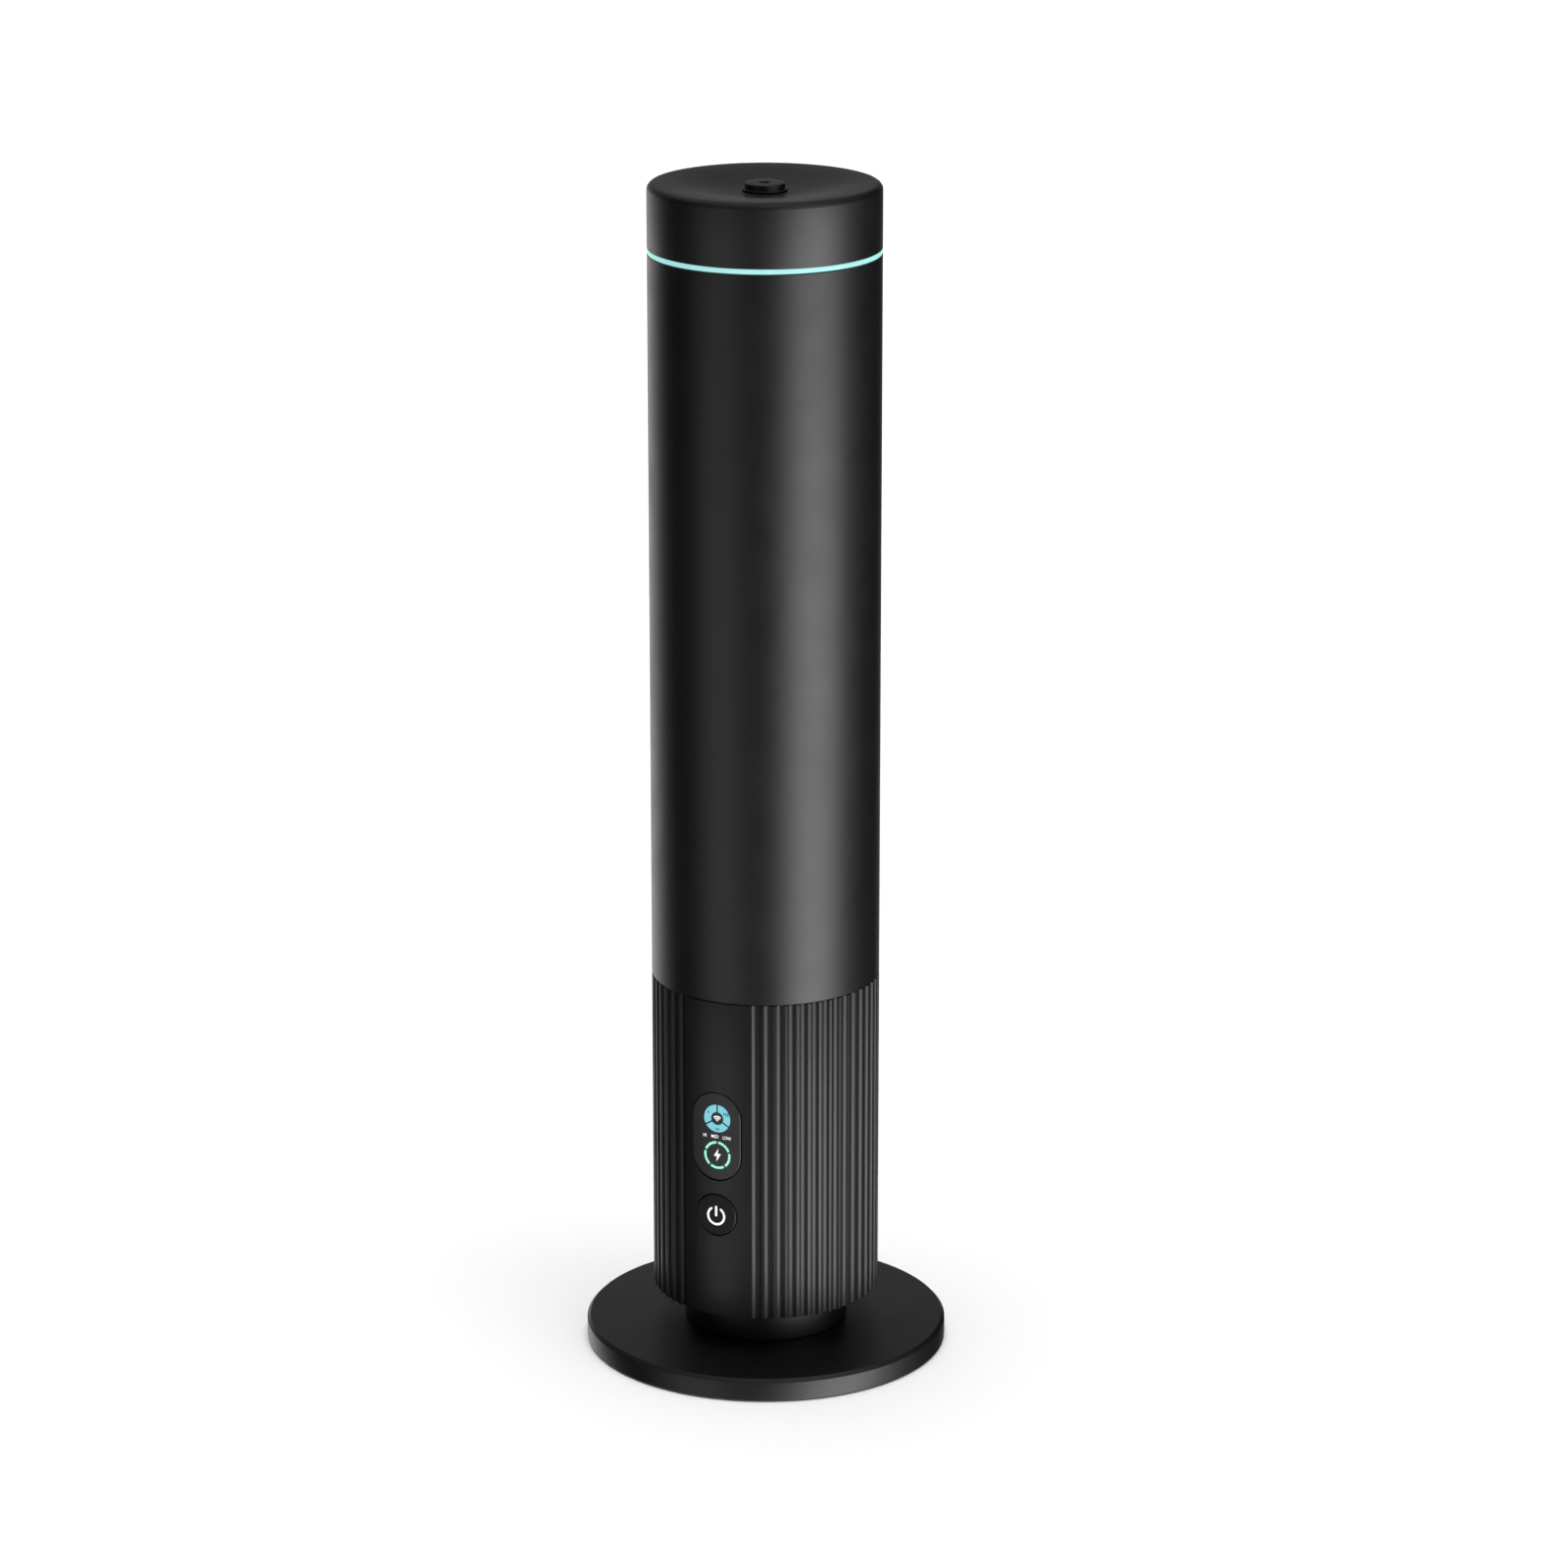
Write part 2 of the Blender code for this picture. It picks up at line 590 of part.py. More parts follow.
def main_board():
    front = FRAME_Y + FRAME_T + GAP
    back = front + BOARD_T
    low, high = MAIN_BOARD_Z
    board = box("main_board", (-MAIN_BOARD_W / 2, front, low), (MAIN_BOARD_W / 2, back, high),
                "circuit_board")
    for label, x0, x1, z0, z1, rise in MAIN_BOARD_BLOCKS:
        join(board, box(f"board_{label}", (x0 * MM, back - 0.5 * MM, z0 * MM),
                        (x1 * MM, back + rise * MM, z1 * MM)))


def battery():
    low = CELL_Z0 - HOLDER_END
    high = CELL_Z0 + CELL_H + HOLDER_END
    side = CELL_X + CELL_R + HOLDER_WALL
    holder = box("battery_holder", (-side, CELL_Y - 3 * MM, low),
                 (side, CELL_Y + CELL_R + HOLDER_WALL, high), "inner_black")
    margin = UP * 3 * CELL_PLAY
    for number, x in ((1, -CELL_X), (2, CELL_X)):
        foot = Vector((x, CELL_Y, CELL_Z0))
        top = foot + UP * CELL_H
        rod(f"battery_cell_{number}", foot, top, CELL_R, "battery_wrap", MEDIUM)
        cut(holder, rod(f"cell_bay_{number}", foot - margin, top + margin, CELL_R + CELL_PLAY,
                        sides=MEDIUM))


def charging():
    mouth = HOUSING_INNER_R - 0.6 * MM
    back = mouth - SOCKET_DEPTH
    half_w = SOCKET_W / 2
    half_h = SOCKET_H / 2
    socket = box("charge_port", (-half_w, back, PORT_Z - half_h), (half_w, mouth, PORT_Z + half_h),
                 "nickel")
    hollow_w = half_w - SOCKET_WALL
    hollow_h = half_h - SOCKET_WALL
    cut(socket, box("socket_hollow", (-hollow_w, back + SOCKET_BACK, PORT_Z - hollow_h),
                    (hollow_w, mouth + MM, PORT_Z + hollow_h)))
    join(socket, box("socket_tongue", (-TONGUE_W / 2, back + MM, PORT_Z - TONGUE_T / 2),
                     (TONGUE_W / 2, mouth - 1.2 * MM, PORT_Z + TONGUE_T / 2)))
    board_top = PORT_Z - half_h - GAP
    box("charge_board", (-CHARGE_BOARD_W / 2, CHARGE_BOARD_Y, board_top - CHARGE_BOARD_T),
        (CHARGE_BOARD_W / 2, mouth - MM, board_top), "circuit_board")


def joining_ring():
    """The sleeve that centres the tube on the lower housing."""
    step = HOUSING_Z1 + GAP / 2
    top = SHELF_Z0 - GAP
    turned("joining_ring", [
        (BODY_R - TUBE_WALL - GAP, top), (BODY_R - TUBE_WALL - GAP, step), (INNER_FIT_R, step),
        (INNER_FIT_R, JOINING_Z0), (JOINING_R, JOINING_Z0), (JOINING_R, top),
    ], "inner_black", sides=LINER)


# ---- Tube, pump and air path -------------------------------------------------------------

TOP_FRAME_R = 43.2 * MM
TOP_FRAME_Z0 = 470.0 * MM
GROOVE_R = 1.4 * MM           # room for the light ring's lead
LEAD_HOLE_R = 2.0 * MM
DAMPER_R = 16.0 * MM
DAMPER_H = 10.0 * MM
DAMPER_T = 2.0 * MM
MOTOR_R = 12.1 * MM
MOTOR_H = 28.0 * MM
MOTOR_Z0 = SHELF_Z0 + SHELF_T + GAP + DAMPER_T + GAP
MOTOR_Z1 = MOTOR_Z0 + MOTOR_H
MOTOR_NOSE_R = 5.0 * MM
MOTOR_NOSE_H = 1.2 * MM
SHAFT_R = 1.0 * MM
SHAFT_BORE = 1.4 * MM
SHAFT_DEPTH = 8.0 * MM
ECCENTRIC_R = 5.0 * MM
ECCENTRIC_OFFSET = 1.2 * MM
PUMP_R = 13.5 * MM
PUMP_BORE = 9.5 * MM
PUMP_Z0 = MOTOR_Z1 + GAP
PUMP_Z1 = PUMP_Z0 + 13.0 * MM
DIAPHRAGM_T = 1.2 * MM
HEAD_Z0 = PUMP_Z1 + 2 * GAP + DIAPHRAGM_T
HEAD_H = 10.0 * MM
BARB_Z = 235.3 * MM
BARB_R = 2.4 * MM
BARB_BORE = 1.2 * MM
BARB_TIP_X = 18.0 * MM
FILTER_R = 4.0 * MM
FILTER_L = 6.7 * MM
HOSE_R = 3.2 * MM
HOSE_BEND = 13.5 * MM
HOSE_Z1 = 253.8 * MM
SEAL_H = 1.9 * MM


def tube():
    ring("upper_tube", BODY_R - TUBE_WALL, BODY_R, TUBE_Z0, TUBE_Z1, "anodised_black")
    frame = ring("top_frame", TOP_FRAME_R, BODY_R - TUBE_WALL - GAP, TOP_FRAME_Z0, TUBE_Z1,
                 "inner_black", sides=LINER)
    cut(frame, rod("frame_groove", (-LEAD_R, 0, TOP_FRAME_Z0 - MM), (-LEAD_R, 0, TUBE_Z1 + MM),
                   GROOVE_R))


def pump_shelf():
    top = SHELF_Z0 + SHELF_T
    part = turned("pump_shelf", [
        (0, top), (SHELF_R, top), (SHELF_R, SHELF_Z0), (0, SHELF_Z0),
    ], "inner_black", sides=MEDIUM, closed=False)
    for label, x, y in (("light", -38 * MM, 0), ("pump", -30 * MM, -12 * MM)):
        cut(part, rod(f"shelf_hole_{label}", (x, y, SHELF_Z0 - MM), (x, y, top + MM), LEAD_HOLE_R))
    rim = top + DAMPER_H
    turned("pump_damper", [
        (0, MOTOR_Z0 - GAP), (MOTOR_R + GAP, MOTOR_Z0 - GAP), (MOTOR_R + GAP, rim),
        (DAMPER_R, rim), (DAMPER_R, top + GAP), (0, top + GAP),
    ], "rubber", sides=MEDIUM, closed=False)


def pump():
    turned("pump_motor", [
        (0, MOTOR_Z1 - SHAFT_DEPTH), (SHAFT_BORE, MOTOR_Z1 - SHAFT_DEPTH), (SHAFT_BORE, MOTOR_Z1),
        (MOTOR_NOSE_R, MOTOR_Z1), (MOTOR_NOSE_R, MOTOR_Z1 - MOTOR_NOSE_H),
        (MOTOR_R, MOTOR_Z1 - MOTOR_NOSE_H), (MOTOR_R, MOTOR_Z0), (0, MOTOR_Z0),
    ], "nickel", sides=MEDIUM, closed=False)
    shaft = rod("pump_rotor", (0, 0, MOTOR_Z1 - SHAFT_DEPTH + MM), (0, 0, PUMP_Z1 - 3 * MM),
                SHAFT_R, "steel")
    join(shaft, rod("eccentric", (ECCENTRIC_OFFSET, 0, PUMP_Z0 + 2 * MM),
                    (ECCENTRIC_OFFSET, 0, PUMP_Z0 + 8 * MM), ECCENTRIC_R, sides=MEDIUM))
    ring("pump_body", PUMP_BORE, PUMP_R, PUMP_Z0, PUMP_Z1, "white_plastic", sides=MEDIUM)
    seat = PUMP_Z1 + GAP
    turned("pump_diaphragm", [
        (0, seat + DIAPHRAGM_T), (PUMP_R - 0.5 * MM, seat + DIAPHRAGM_T), (PUMP_R - 0.5 * MM, seat),
        (2 * MM, seat), (2 * MM, PUMP_Z1 - 2 * MM), (0, PUMP_Z1 - 2 * MM),
    ], "rubber", sides=MEDIUM, closed=False)
    head = turned("pump_head", [
        (0, HEAD_Z0 + HEAD_H), (PUMP_R - MM, HEAD_Z0 + HEAD_H), (PUMP_R, HEAD_Z0 + HEAD_H - MM),
        (PUMP_R, HEAD_Z0), (0, HEAD_Z0),
    ], "white_plastic", sides=MEDIUM, closed=False)
    join(head, rod("outlet_barb", (PUMP_R - 3.5 * MM, 0, BARB_Z), (BARB_TIP_X, 0, BARB_Z), BARB_R))
    cut(head, rod("outlet_bore", (PUMP_R - 1.5 * MM, 0, BARB_Z), (2 * BARB_TIP_X, 0, BARB_Z),
                  BARB_BORE))
    near = -PUMP_R - GAP
    rod("intake_filter", (near, 0, BARB_Z), (near - FILTER_L, 0, BARB_Z), FILTER_R, "filter_foam",
        MEDIUM)


def air_path():
    """The hose from the pump, the riser beside the bottle and the seal on its top."""
    start = Vector((BARB_TIP_X + GAP, 0, BARB_Z))
    centre = Vector((RISER_X - HOSE_BEND, 0, BARB_Z + HOSE_BEND))
    arc = [centre + HOSE_BEND * Vector((math.sin(turn), 0, -math.cos(turn)))
           for turn in (0, math.pi / 6, math.pi / 3, math.pi / 2)]
    end = Vector((RISER_X, 0, HOSE_Z1))
    route = [start, (start + arc[0]) / 2] + arc + [(arc[-1] + end) / 2, end]
    pipe("air_hose", route, HOSE_R, "silicone")
    at = (RISER_X, 0, 0)
    ring("air_riser", RISER_BORE, RISER_R, HOSE_Z1 + GAP, RISER_Z1, "nickel", at, SMALL)
    ring("riser_seal", RISER_BORE, RISER_R + 0.2 * MM, RISER_Z1 + GAP, RISER_Z1 + GAP + SEAL_H,
         "rubber", at, SMALL)


def leads():
    """The pump's lead and the light ring's lead, both from the main board."""
    pipe("pump_lead", [(x * MM, y * MM, z * MM) for x, y, z in (
        (-17.5, -8, 192), (-24, -11, 191), (-30, -12, 185), (-29, -13, 172), (-17, -16, 132),
        (-16, -19, 122),
    )], 0.9 * MM, "lead_red")
    rise = [(x * MM, y * MM, z * MM) for x, y, z in (
        (-22, -18, 123), (-26, -12, 134), (-37, -2, 174), (-38, 0, 183.5), (-41, 0, 195),
    )]
    upright = [(-LEAD_R, 0, z) for z in (210 * MM, 300 * MM, 390 * MM, 480 * MM, TUBE_Z1)]
    pipe("light_lead", rise + upright, 0.8 * MM, "rubber")


# ---- Bottle and atomizer head ------------------------------------------------------------

BOTTLE_WALL = 2.6 * MM
SHOULDER_Z = 380.0 * MM       # where the bottle's shoulder starts to turn in
SEAT_BORE = 20.0 * MM
SEAT_RIM_H = 12.0 * MM
SEAT_RIM_T = 1.6 * MM
SEAT_PLAY = 0.6 * MM
SEAT_LEG_RING = 40.0 * MM
SEAT_LEG_R = 3.0 * MM
COLLAR_R = 18.0 * MM
COLLAR_Z0 = 398.0 * MM
COLLAR_PLAY = 0.4 * MM
DIP_TUBE_R = 2.2 * MM
DIP_TUBE_BORE = 1.1 * MM
DIP_TUBE_Z0 = 276.8 * MM
ATOMIZER_R = 19.0 * MM
ATOMIZER_Z0 = BOTTLE_Z1 + GAP
PLUG_R = 10.8 * MM            # plug that seals the bottle's mouth
PLUG_Z0 = 402.0 * MM
CUP_R = 16.0 * MM             # spray chamber
CUP_Z0 = 416.0 * MM
CUP_Z1 = 440.0 * MM
ARM_X = 42.6 * MM
ARM_W = 7.0 * MM
ARM_H = 8.0 * MM
JET_R = 5.0 * MM
GASKET_T = 1.0 * MM
LID_T = 3.4 * MM
CHIMNEY_R = 5.5 * MM
CHIMNEY_BORE = 3.8 * MM
CHIMNEY_Z1 = 505.7 * MM


def bottle_seat():
    floor = SEAT_Z0 + SEAT_T
    top = floor + SEAT_RIM_H
    rim = BOTTLE_R + SEAT_PLAY
    part = turned("bottle_seat", [
        (SHELF_R, floor), (SHELF_R, SEAT_Z0), (SEAT_BORE, SEAT_Z0), (SEAT_BORE, floor),
        (rim, floor), (rim, top), (rim + SEAT_RIM_T, top), (rim + SEAT_RIM_T, floor),
    ], "inner_black", sides=LINER)
    cut(part,
        rod("seat_riser_hole", (RISER_X, 0, SEAT_Z0 - MM), (RISER_X, 0, top), RISER_R + GAP),
        rod("seat_lead_notch", (-LEAD_R, 0, SEAT_Z0 - MM), (-LEAD_R, 0, top), GROOVE_R))
    for angle in THREE_ANGLES:
        foot = at_angle(SEAT_LEG_RING, angle, SHELF_Z0 + SHELF_T + GAP)
        head = at_angle(SEAT_LEG_RING, angle, SEAT_Z0 + MM)
        join(part, rod(f"seat_leg_{angle}", foot, head, SEAT_LEG_R))


def oil_bottle():
    neck_in = BOTTLE_NECK_R - BOTTLE_WALL
    inner = BOTTLE_R - BOTTLE_WALL
    floor = BOTTLE_Z0 + 3.5 * MM
    turned("oil_bottle", [
        (0, floor), (inner - 1.5 * MM, floor), (inner, floor + 1.5 * MM),
        (inner, SHOULDER_Z - 1.0 * MM), (26 * MM, SHOULDER_Z + 7.0 * MM),
        (18.5 * MM, SHOULDER_Z + 11.8 * MM), (neck_in, SHOULDER_Z + 15 * MM), (neck_in, BOTTLE_Z1),
        (BOTTLE_NECK_R, BOTTLE_Z1), (BOTTLE_NECK_R, SHOULDER_Z + 17 * MM),
        (20 * MM, SHOULDER_Z + 14.5 * MM), (28 * MM, SHOULDER_Z + 9 * MM), (BOTTLE_R, SHOULDER_Z),
        (BOTTLE_R, BOTTLE_Z0 + 2 * MM), (BOTTLE_R - 2 * MM, BOTTLE_Z0), (0, BOTTLE_Z0),
    ], "amber_glass", sides=32, closed=False)
    ring("bottle_collar", BOTTLE_NECK_R + COLLAR_PLAY, COLLAR_R, COLLAR_Z0, BOTTLE_Z1 - COLLAR_PLAY,
         "inner_black", sides=MEDIUM)


def atomizer():
    """The head that screws on the bottle: dip tube, spray chamber, jet, gasket and lid."""
    ring("dip_tube", DIP_TUBE_BORE, DIP_TUBE_R, DIP_TUBE_Z0, PLUG_Z0 - GAP, "silicone", sides=SMALL)
    cup = turned("atomizer_body", [
        (0, CUP_Z0), (CUP_R, CUP_Z0), (CUP_R, CUP_Z1), (ATOMIZER_R, CUP_Z1),
        (ATOMIZER_R, ATOMIZER_Z0), (PLUG_R, ATOMIZER_Z0), (PLUG_R, PLUG_Z0), (0, PLUG_Z0),
    ], "inner_black", sides=MEDIUM, closed=False)
    arm_z0 = RISER_Z1 + 2 * GAP + SEAL_H
    join(cup, box("atomizer_arm", (CUP_R + 1.5 * MM, -ARM_W / 2, arm_z0),
                  (ARM_X, ARM_W / 2, arm_z0 + ARM_H)))
    cut(cup, rod("arm_port", (RISER_X, 0, arm_z0 - MM), (RISER_X, 0, arm_z0 + 5 * MM), RISER_BORE))
    jet_z0 = CUP_Z0 + GAP
    turned("venturi_jet", [
        (0, jet_z0 + 12.7 * MM), (1.5 * MM, jet_z0 + 12.7 * MM), (3 * MM, jet_z0 + 7.7 * MM),
        (JET_R, jet_z0 + 6.7 * MM), (JET_R, jet_z0), (0, jet_z0),
    ], "nickel", sides=MEDIUM, closed=False)
    ring("atomizer_gasket", 14.5 * MM, ATOMIZER_R - 0.4 * MM, CUP_Z1 + GAP, CUP_Z1 + GAP + GASKET_T,
         "silicone", sides=MEDIUM)
    lid = CUP_Z1 + GASKET_T + 2 * GAP
    turned("atomizer_lid", [
        (CHIMNEY_R, CHIMNEY_Z1), (CHIMNEY_R, lid + LID_T + 1.6 * MM),
        (CHIMNEY_R + 2.5 * MM, lid + LID_T), (ATOMIZER_R, lid + LID_T), (ATOMIZER_R, lid),
        (CHIMNEY_BORE, lid), (CHIMNEY_BORE, CHIMNEY_Z1),
    ], "inner_black", sides=MEDIUM)


# ---- Light ring, cap and nozzle ----------------------------------------------------------

LIGHT_INNER_R = 46.6 * MM
LED_BOARD_R = (43.8 * MM, 46.2 * MM)
LED_BOARD_T = 1.2 * MM
CAP_HOLE = 6.4 * MM
CAP_INNER_Z = 517.6 * MM      # flat ring inside the cap, above the insert's flange
DISH = (                      # radius, and depth of the cap's dished top below its rim
    (CAP_HOLE, 3.4 * MM), (12 * MM, 3.3 * MM), (24 * MM, 2.6 * MM), (36 * MM, 1.3 * MM),
    (44 * MM, 0.35 * MM),
)
INSERT_SKIRT_R = (40.4 * MM, 42.8 * MM)
INSERT_SKIRT_Z0 = 486.0 * MM
INSERT_FLANGE_R = (34.0 * MM, 45.5 * MM)
INSERT_FLANGE_T = 2.8 * MM
SPOUT_R = 6.1 * MM
SPOUT_BORE = 2.2 * MM
SPOUT_Z0 = 507.7 * MM
KNOB_R = 8.6 * MM
KNOB_LIP_R = 9.7 * MM
KNOB_LIP_T = 0.6 * MM


def light_ring():
    ring("led_ring", LIGHT_INNER_R, BODY_R, LIGHT_Z0, LIGHT_Z1, "light_cyan")
    inner, outer = LED_BOARD_R
    ring("led_board", inner, outer, LIGHT_Z0, LIGHT_Z0 + LED_BOARD_T, "circuit_board", sides=LINER)


def cap():
    """The lift-off cap, and the insert that centres it in the tube."""
    steps = 3
    edge = []
    for i in range(steps + 1):
        angle = math.pi / 2 * (1 - i / steps)
        edge.append((BODY_R - CAP_FILLET + CAP_FILLET * math.cos(angle),
                     CAP_Z1 - CAP_FILLET + CAP_FILLET * math.sin(angle)))
    dish = [(radius, CAP_Z1 - drop) for radius, drop in DISH]
    inner_r = BODY_R - CAP_WALL
    inner_z = CAP_INNER_Z
    hole_z = dish[0][1] - CAP_WALL
    turned("top_cap", dish + edge + [
        (BODY_R, CAP_Z0), (inner_r, CAP_Z0), (inner_r, inner_z), (33.5 * MM, inner_z),
        (24 * MM, hole_z), (CAP_HOLE, hole_z),
    ], "satin_black")
    top = inner_z - GAP
    flange = top - INSERT_FLANGE_T
    flange_in, flange_out = INSERT_FLANGE_R
    skirt_in, skirt_out = INSERT_SKIRT_R
    turned("cap_insert", [
        (flange_out, top), (flange_out, flange), (skirt_out, flange), (skirt_out, INSERT_SKIRT_Z0),
        (skirt_in, INSERT_SKIRT_Z0), (skirt_in, flange), (flange_in, flange), (flange_in, top),
    ], "inner_black", sides=LINER)


def nozzle():
    lip_z0 = CAP_Z1 - DISH[0][1] + GAP
    lip_z1 = lip_z0 + KNOB_LIP_T
    turned("nozzle", [
        (SPOUT_BORE, CAP_Z1), (KNOB_R - 0.3 * MM, CAP_Z1), (KNOB_R, CAP_Z1 - 0.3 * MM),
        (KNOB_R, lip_z1), (KNOB_LIP_R, lip_z1), (KNOB_LIP_R, lip_z0), (SPOUT_R, lip_z0),
        (SPOUT_R, SPOUT_Z0), (SPOUT_BORE, SPOUT_Z0),
    ], "satin_black", sides=MEDIUM)
    ring("nozzle_seal", 3.9 * MM, SPOUT_R, CHIMNEY_Z1 + GAP, SPOUT_Z0 - GAP, "silicone",
         sides=MEDIUM)


base_plate()
base_inside()
neck()
bottom_cap()
lower_housing()
display()
power_button()
button_switch()
control_board()
main_board()
battery()
charging()
joining_ring()
tube()
pump_shelf()
pump()
air_path()
leads()
bottle_seat()
oil_bottle()
atomizer()
light_ring()
cap()
nozzle()
bpy.context.view_layer.update()
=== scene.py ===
"""Looks of the cordless tower scent diffuser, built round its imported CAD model.

Metres, in the CAD model's frame: +Z up, the control panel faces -Y.  Places and outer sizes come
from the CAD nodes; the values named here are the details that only the looks need.
"""
import json
import math

import bmesh
import bpy
from mathutils import Euler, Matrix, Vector


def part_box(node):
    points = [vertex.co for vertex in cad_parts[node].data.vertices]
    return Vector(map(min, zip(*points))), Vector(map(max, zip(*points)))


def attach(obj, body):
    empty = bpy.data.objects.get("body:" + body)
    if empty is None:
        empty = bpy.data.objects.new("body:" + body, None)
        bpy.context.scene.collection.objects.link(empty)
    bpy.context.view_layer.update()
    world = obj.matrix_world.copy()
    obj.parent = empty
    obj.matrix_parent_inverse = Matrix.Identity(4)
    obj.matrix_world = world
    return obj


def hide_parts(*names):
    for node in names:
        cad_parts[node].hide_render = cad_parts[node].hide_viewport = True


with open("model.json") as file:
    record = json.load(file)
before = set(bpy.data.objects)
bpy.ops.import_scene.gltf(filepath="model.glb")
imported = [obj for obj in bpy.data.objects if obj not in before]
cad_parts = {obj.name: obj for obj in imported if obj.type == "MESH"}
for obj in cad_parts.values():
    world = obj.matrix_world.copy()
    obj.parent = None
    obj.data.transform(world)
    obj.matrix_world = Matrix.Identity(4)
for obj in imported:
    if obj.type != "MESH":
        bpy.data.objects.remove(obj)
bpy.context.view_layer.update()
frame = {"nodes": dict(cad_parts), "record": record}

MM = 0.001
SIDES = 192                   # sides of the wide round pieces
SMALL_SIDES = 64
SHARP = math.radians(30)      # edges that turn by more than this stay sharp

# ---- Outlines and meshes -----------------------------------------------------------------


def rounded(corners, closed=True, steps=4):
    """Points through (r, z, radius) corners, with an arc of that radius at each corner."""
    points = []
    count = len(corners)
    for i, (r, z, radius) in enumerate(corners):
        at_end = not closed and i in (0, count - 1)
        if radius == 0 or at_end:
            points.append((r, z))
            continue
        corner = Vector((r, z))
        before = (Vector(corners[i - 1][:2]) - corner).normalized()
        after = (Vector(corners[(i + 1) % count][:2]) - corner).normalized()
        half = before.angle(after) / 2
        centre = corner + (before + after).normalized() * radius / math.sin(half)
        first = corner + before * radius / math.tan(half) - centre
        last = corner + after * radius / math.tan(half) - centre
        turn = first.angle_signed(last)
        for step in range(steps + 1):
            angle = -turn * step / steps
            points.append((centre.x + first.x * math.cos(angle) - first.y * math.sin(angle),
                           centre.y + first.x * math.sin(angle) + first.y * math.cos(angle)))
    return points


def smooth(mesh):
    """Faces outwards, shaded smooth between the sharp edges."""
    work = bmesh.new()
    work.from_mesh(mesh)
    bmesh.ops.recalc_face_normals(work, faces=work.faces[:])
    work.to_mesh(mesh)
    work.free()
    mesh.shade_smooth()
    mesh.set_sharp_from_angle(angle=SHARP)
    return mesh


def loft(rings, closed):
    """A mesh through rings of points; a ring of one point is a pole."""
    points = []
    starts = []
    for ring in rings:
        starts.append(len(points))
        points.extend(ring)
    pairs = list(zip(range(len(rings)), range(1, len(rings))))
    if closed:
        pairs.append((len(rings) - 1, 0))
    faces = []
    for a, b in pairs:
        sides = max(len(rings[a]), len(rings[b]))
        for i in range(sides):
            j = (i + 1) % sides
            corners = [starts[a] + i % len(rings[a]), starts[a] + j % len(rings[a]),
                       starts[b] + j % len(rings[b]), starts[b] + i % len(rings[b])]
            faces.append(list(dict.fromkeys(corners)))
    mesh = bpy.data.meshes.new("loft")
    mesh.from_pydata(points, [], faces)
    return smooth(mesh)


def turned(corners, sides=SIDES, closed=True, centre=(0, 0)):
    """Rounded (r, z, radius) corners turned about an upright axis."""
    rings = []
    for r, z in rounded(corners, closed):
        if r < 1e-9:
            rings.append([(centre[0], centre[1], z)])
            continue
        ring = []
        for i in range(sides):
            angle = math.tau * i / sides
            ring.append((centre[0] + r * math.cos(angle), centre[1] + r * math.sin(angle), z))
        rings.append(ring)
    return loft(rings, closed)


def fluted(inner, levels, radius_at, sides):
    """A wall between a round bore and an outline radius_at(angle), on (inset, z) levels."""
    turns = [Vector((math.cos(math.tau * i / sides), math.sin(math.tau * i / sides)))
             for i in range(sides)]
    outline = [radius_at(math.tau * i / sides) for i in range(sides)]
    rings = []
    for inset, z in levels:
        rings.append([(*turn * (radius - inset), z) for turn, radius in zip(turns, outline)])
    for z in (levels[-1][1], levels[0][1]):
        rings.append([(*turn * inner, z) for turn in turns])
    return loft(rings, closed=True)


def slab(outline, levels):
    """A flat piece that faces -Y: outline(inset) on (inset, y) levels, with both ends filled."""
    points = []
    faces = []
    size = len(outline(0))
    for inset, y in levels:
        points.extend((x, y, z) for x, z in outline(inset))
    for level in range(len(levels) - 1):
        for i in range(size):
            j = (i + 1) % size
            a = level * size
            b = a + size
            faces.append([a + i, a + j, b + j, b + i])
    faces.append(list(range(size)))
    faces.append([(len(levels) - 1) * size + i for i in range(size)])
    mesh = bpy.data.meshes.new("slab")
    mesh.from_pydata(points, [], faces)
    return smooth(mesh)


def marks(outlines, front, back):
    """Thin straight-sided marks that face -Y, one for each outline of (x, z) points."""
    points = []
    faces = []
    for outline in outlines:
        size = len(outline)
        start = len(points)
        points.extend((x, front, z) for x, z in outline)
        points.extend((x, back, z) for x, z in outline)
        faces.append([start + i for i in range(size)])
        faces.append([start + size + i for i in range(size)])
        for i in range(size):
            j = (i + 1) % size
            faces.append([start + i, start + j, start + size + j, start + size + i])
    mesh = bpy.data.meshes.new("marks")
    mesh.from_pydata(points, [], faces)
    return smooth(mesh)


def arc_points(centre, radius, start, end, steps):
    """Points on an arc. Angles are in degrees, clockwise from the top, as on a dial."""
    points = []
    for step in range(steps + 1):
        angle = math.radians(start + (end - start) * step / steps)
        points.append((centre[0] + radius * math.sin(angle), centre[1] + radius * math.cos(angle)))
    return points


def band(centre, inner, outer, start, end, steps=24):
    """A stretch of a flat ring."""
    return (arc_points(centre, outer, start, end, steps)
            + arc_points(centre, inner, end, start, steps))


def parted_band(centre, inner, outer, start, end, gap, steps=24):
    """A stretch of a flat ring whose ends leave half of a straight gap to the next stretch."""
    def trim(radius):
        return math.degrees(math.asin(gap / 2 / radius))
    return (arc_points(centre, outer, start + trim(outer), end - trim(outer), steps)
            + arc_points(centre, inner, end - trim(inner), start + trim(inner), steps))


def round_band(centre, radius, thickness, start, end, steps=48):
    """A stretch of a flat ring with round ends."""
    half = thickness / 2
    tips = arc_points(centre, radius, start, end, 1)
    return (arc_points(centre, radius + half, start, end, steps)
            + arc_points(tips[1], half, end, end + 180, 12)[1:-1]
            + arc_points(centre, radius - half, end, start, steps)
            + arc_points(tips[0], half, start + 180, start + 360, 12)[1:-1])


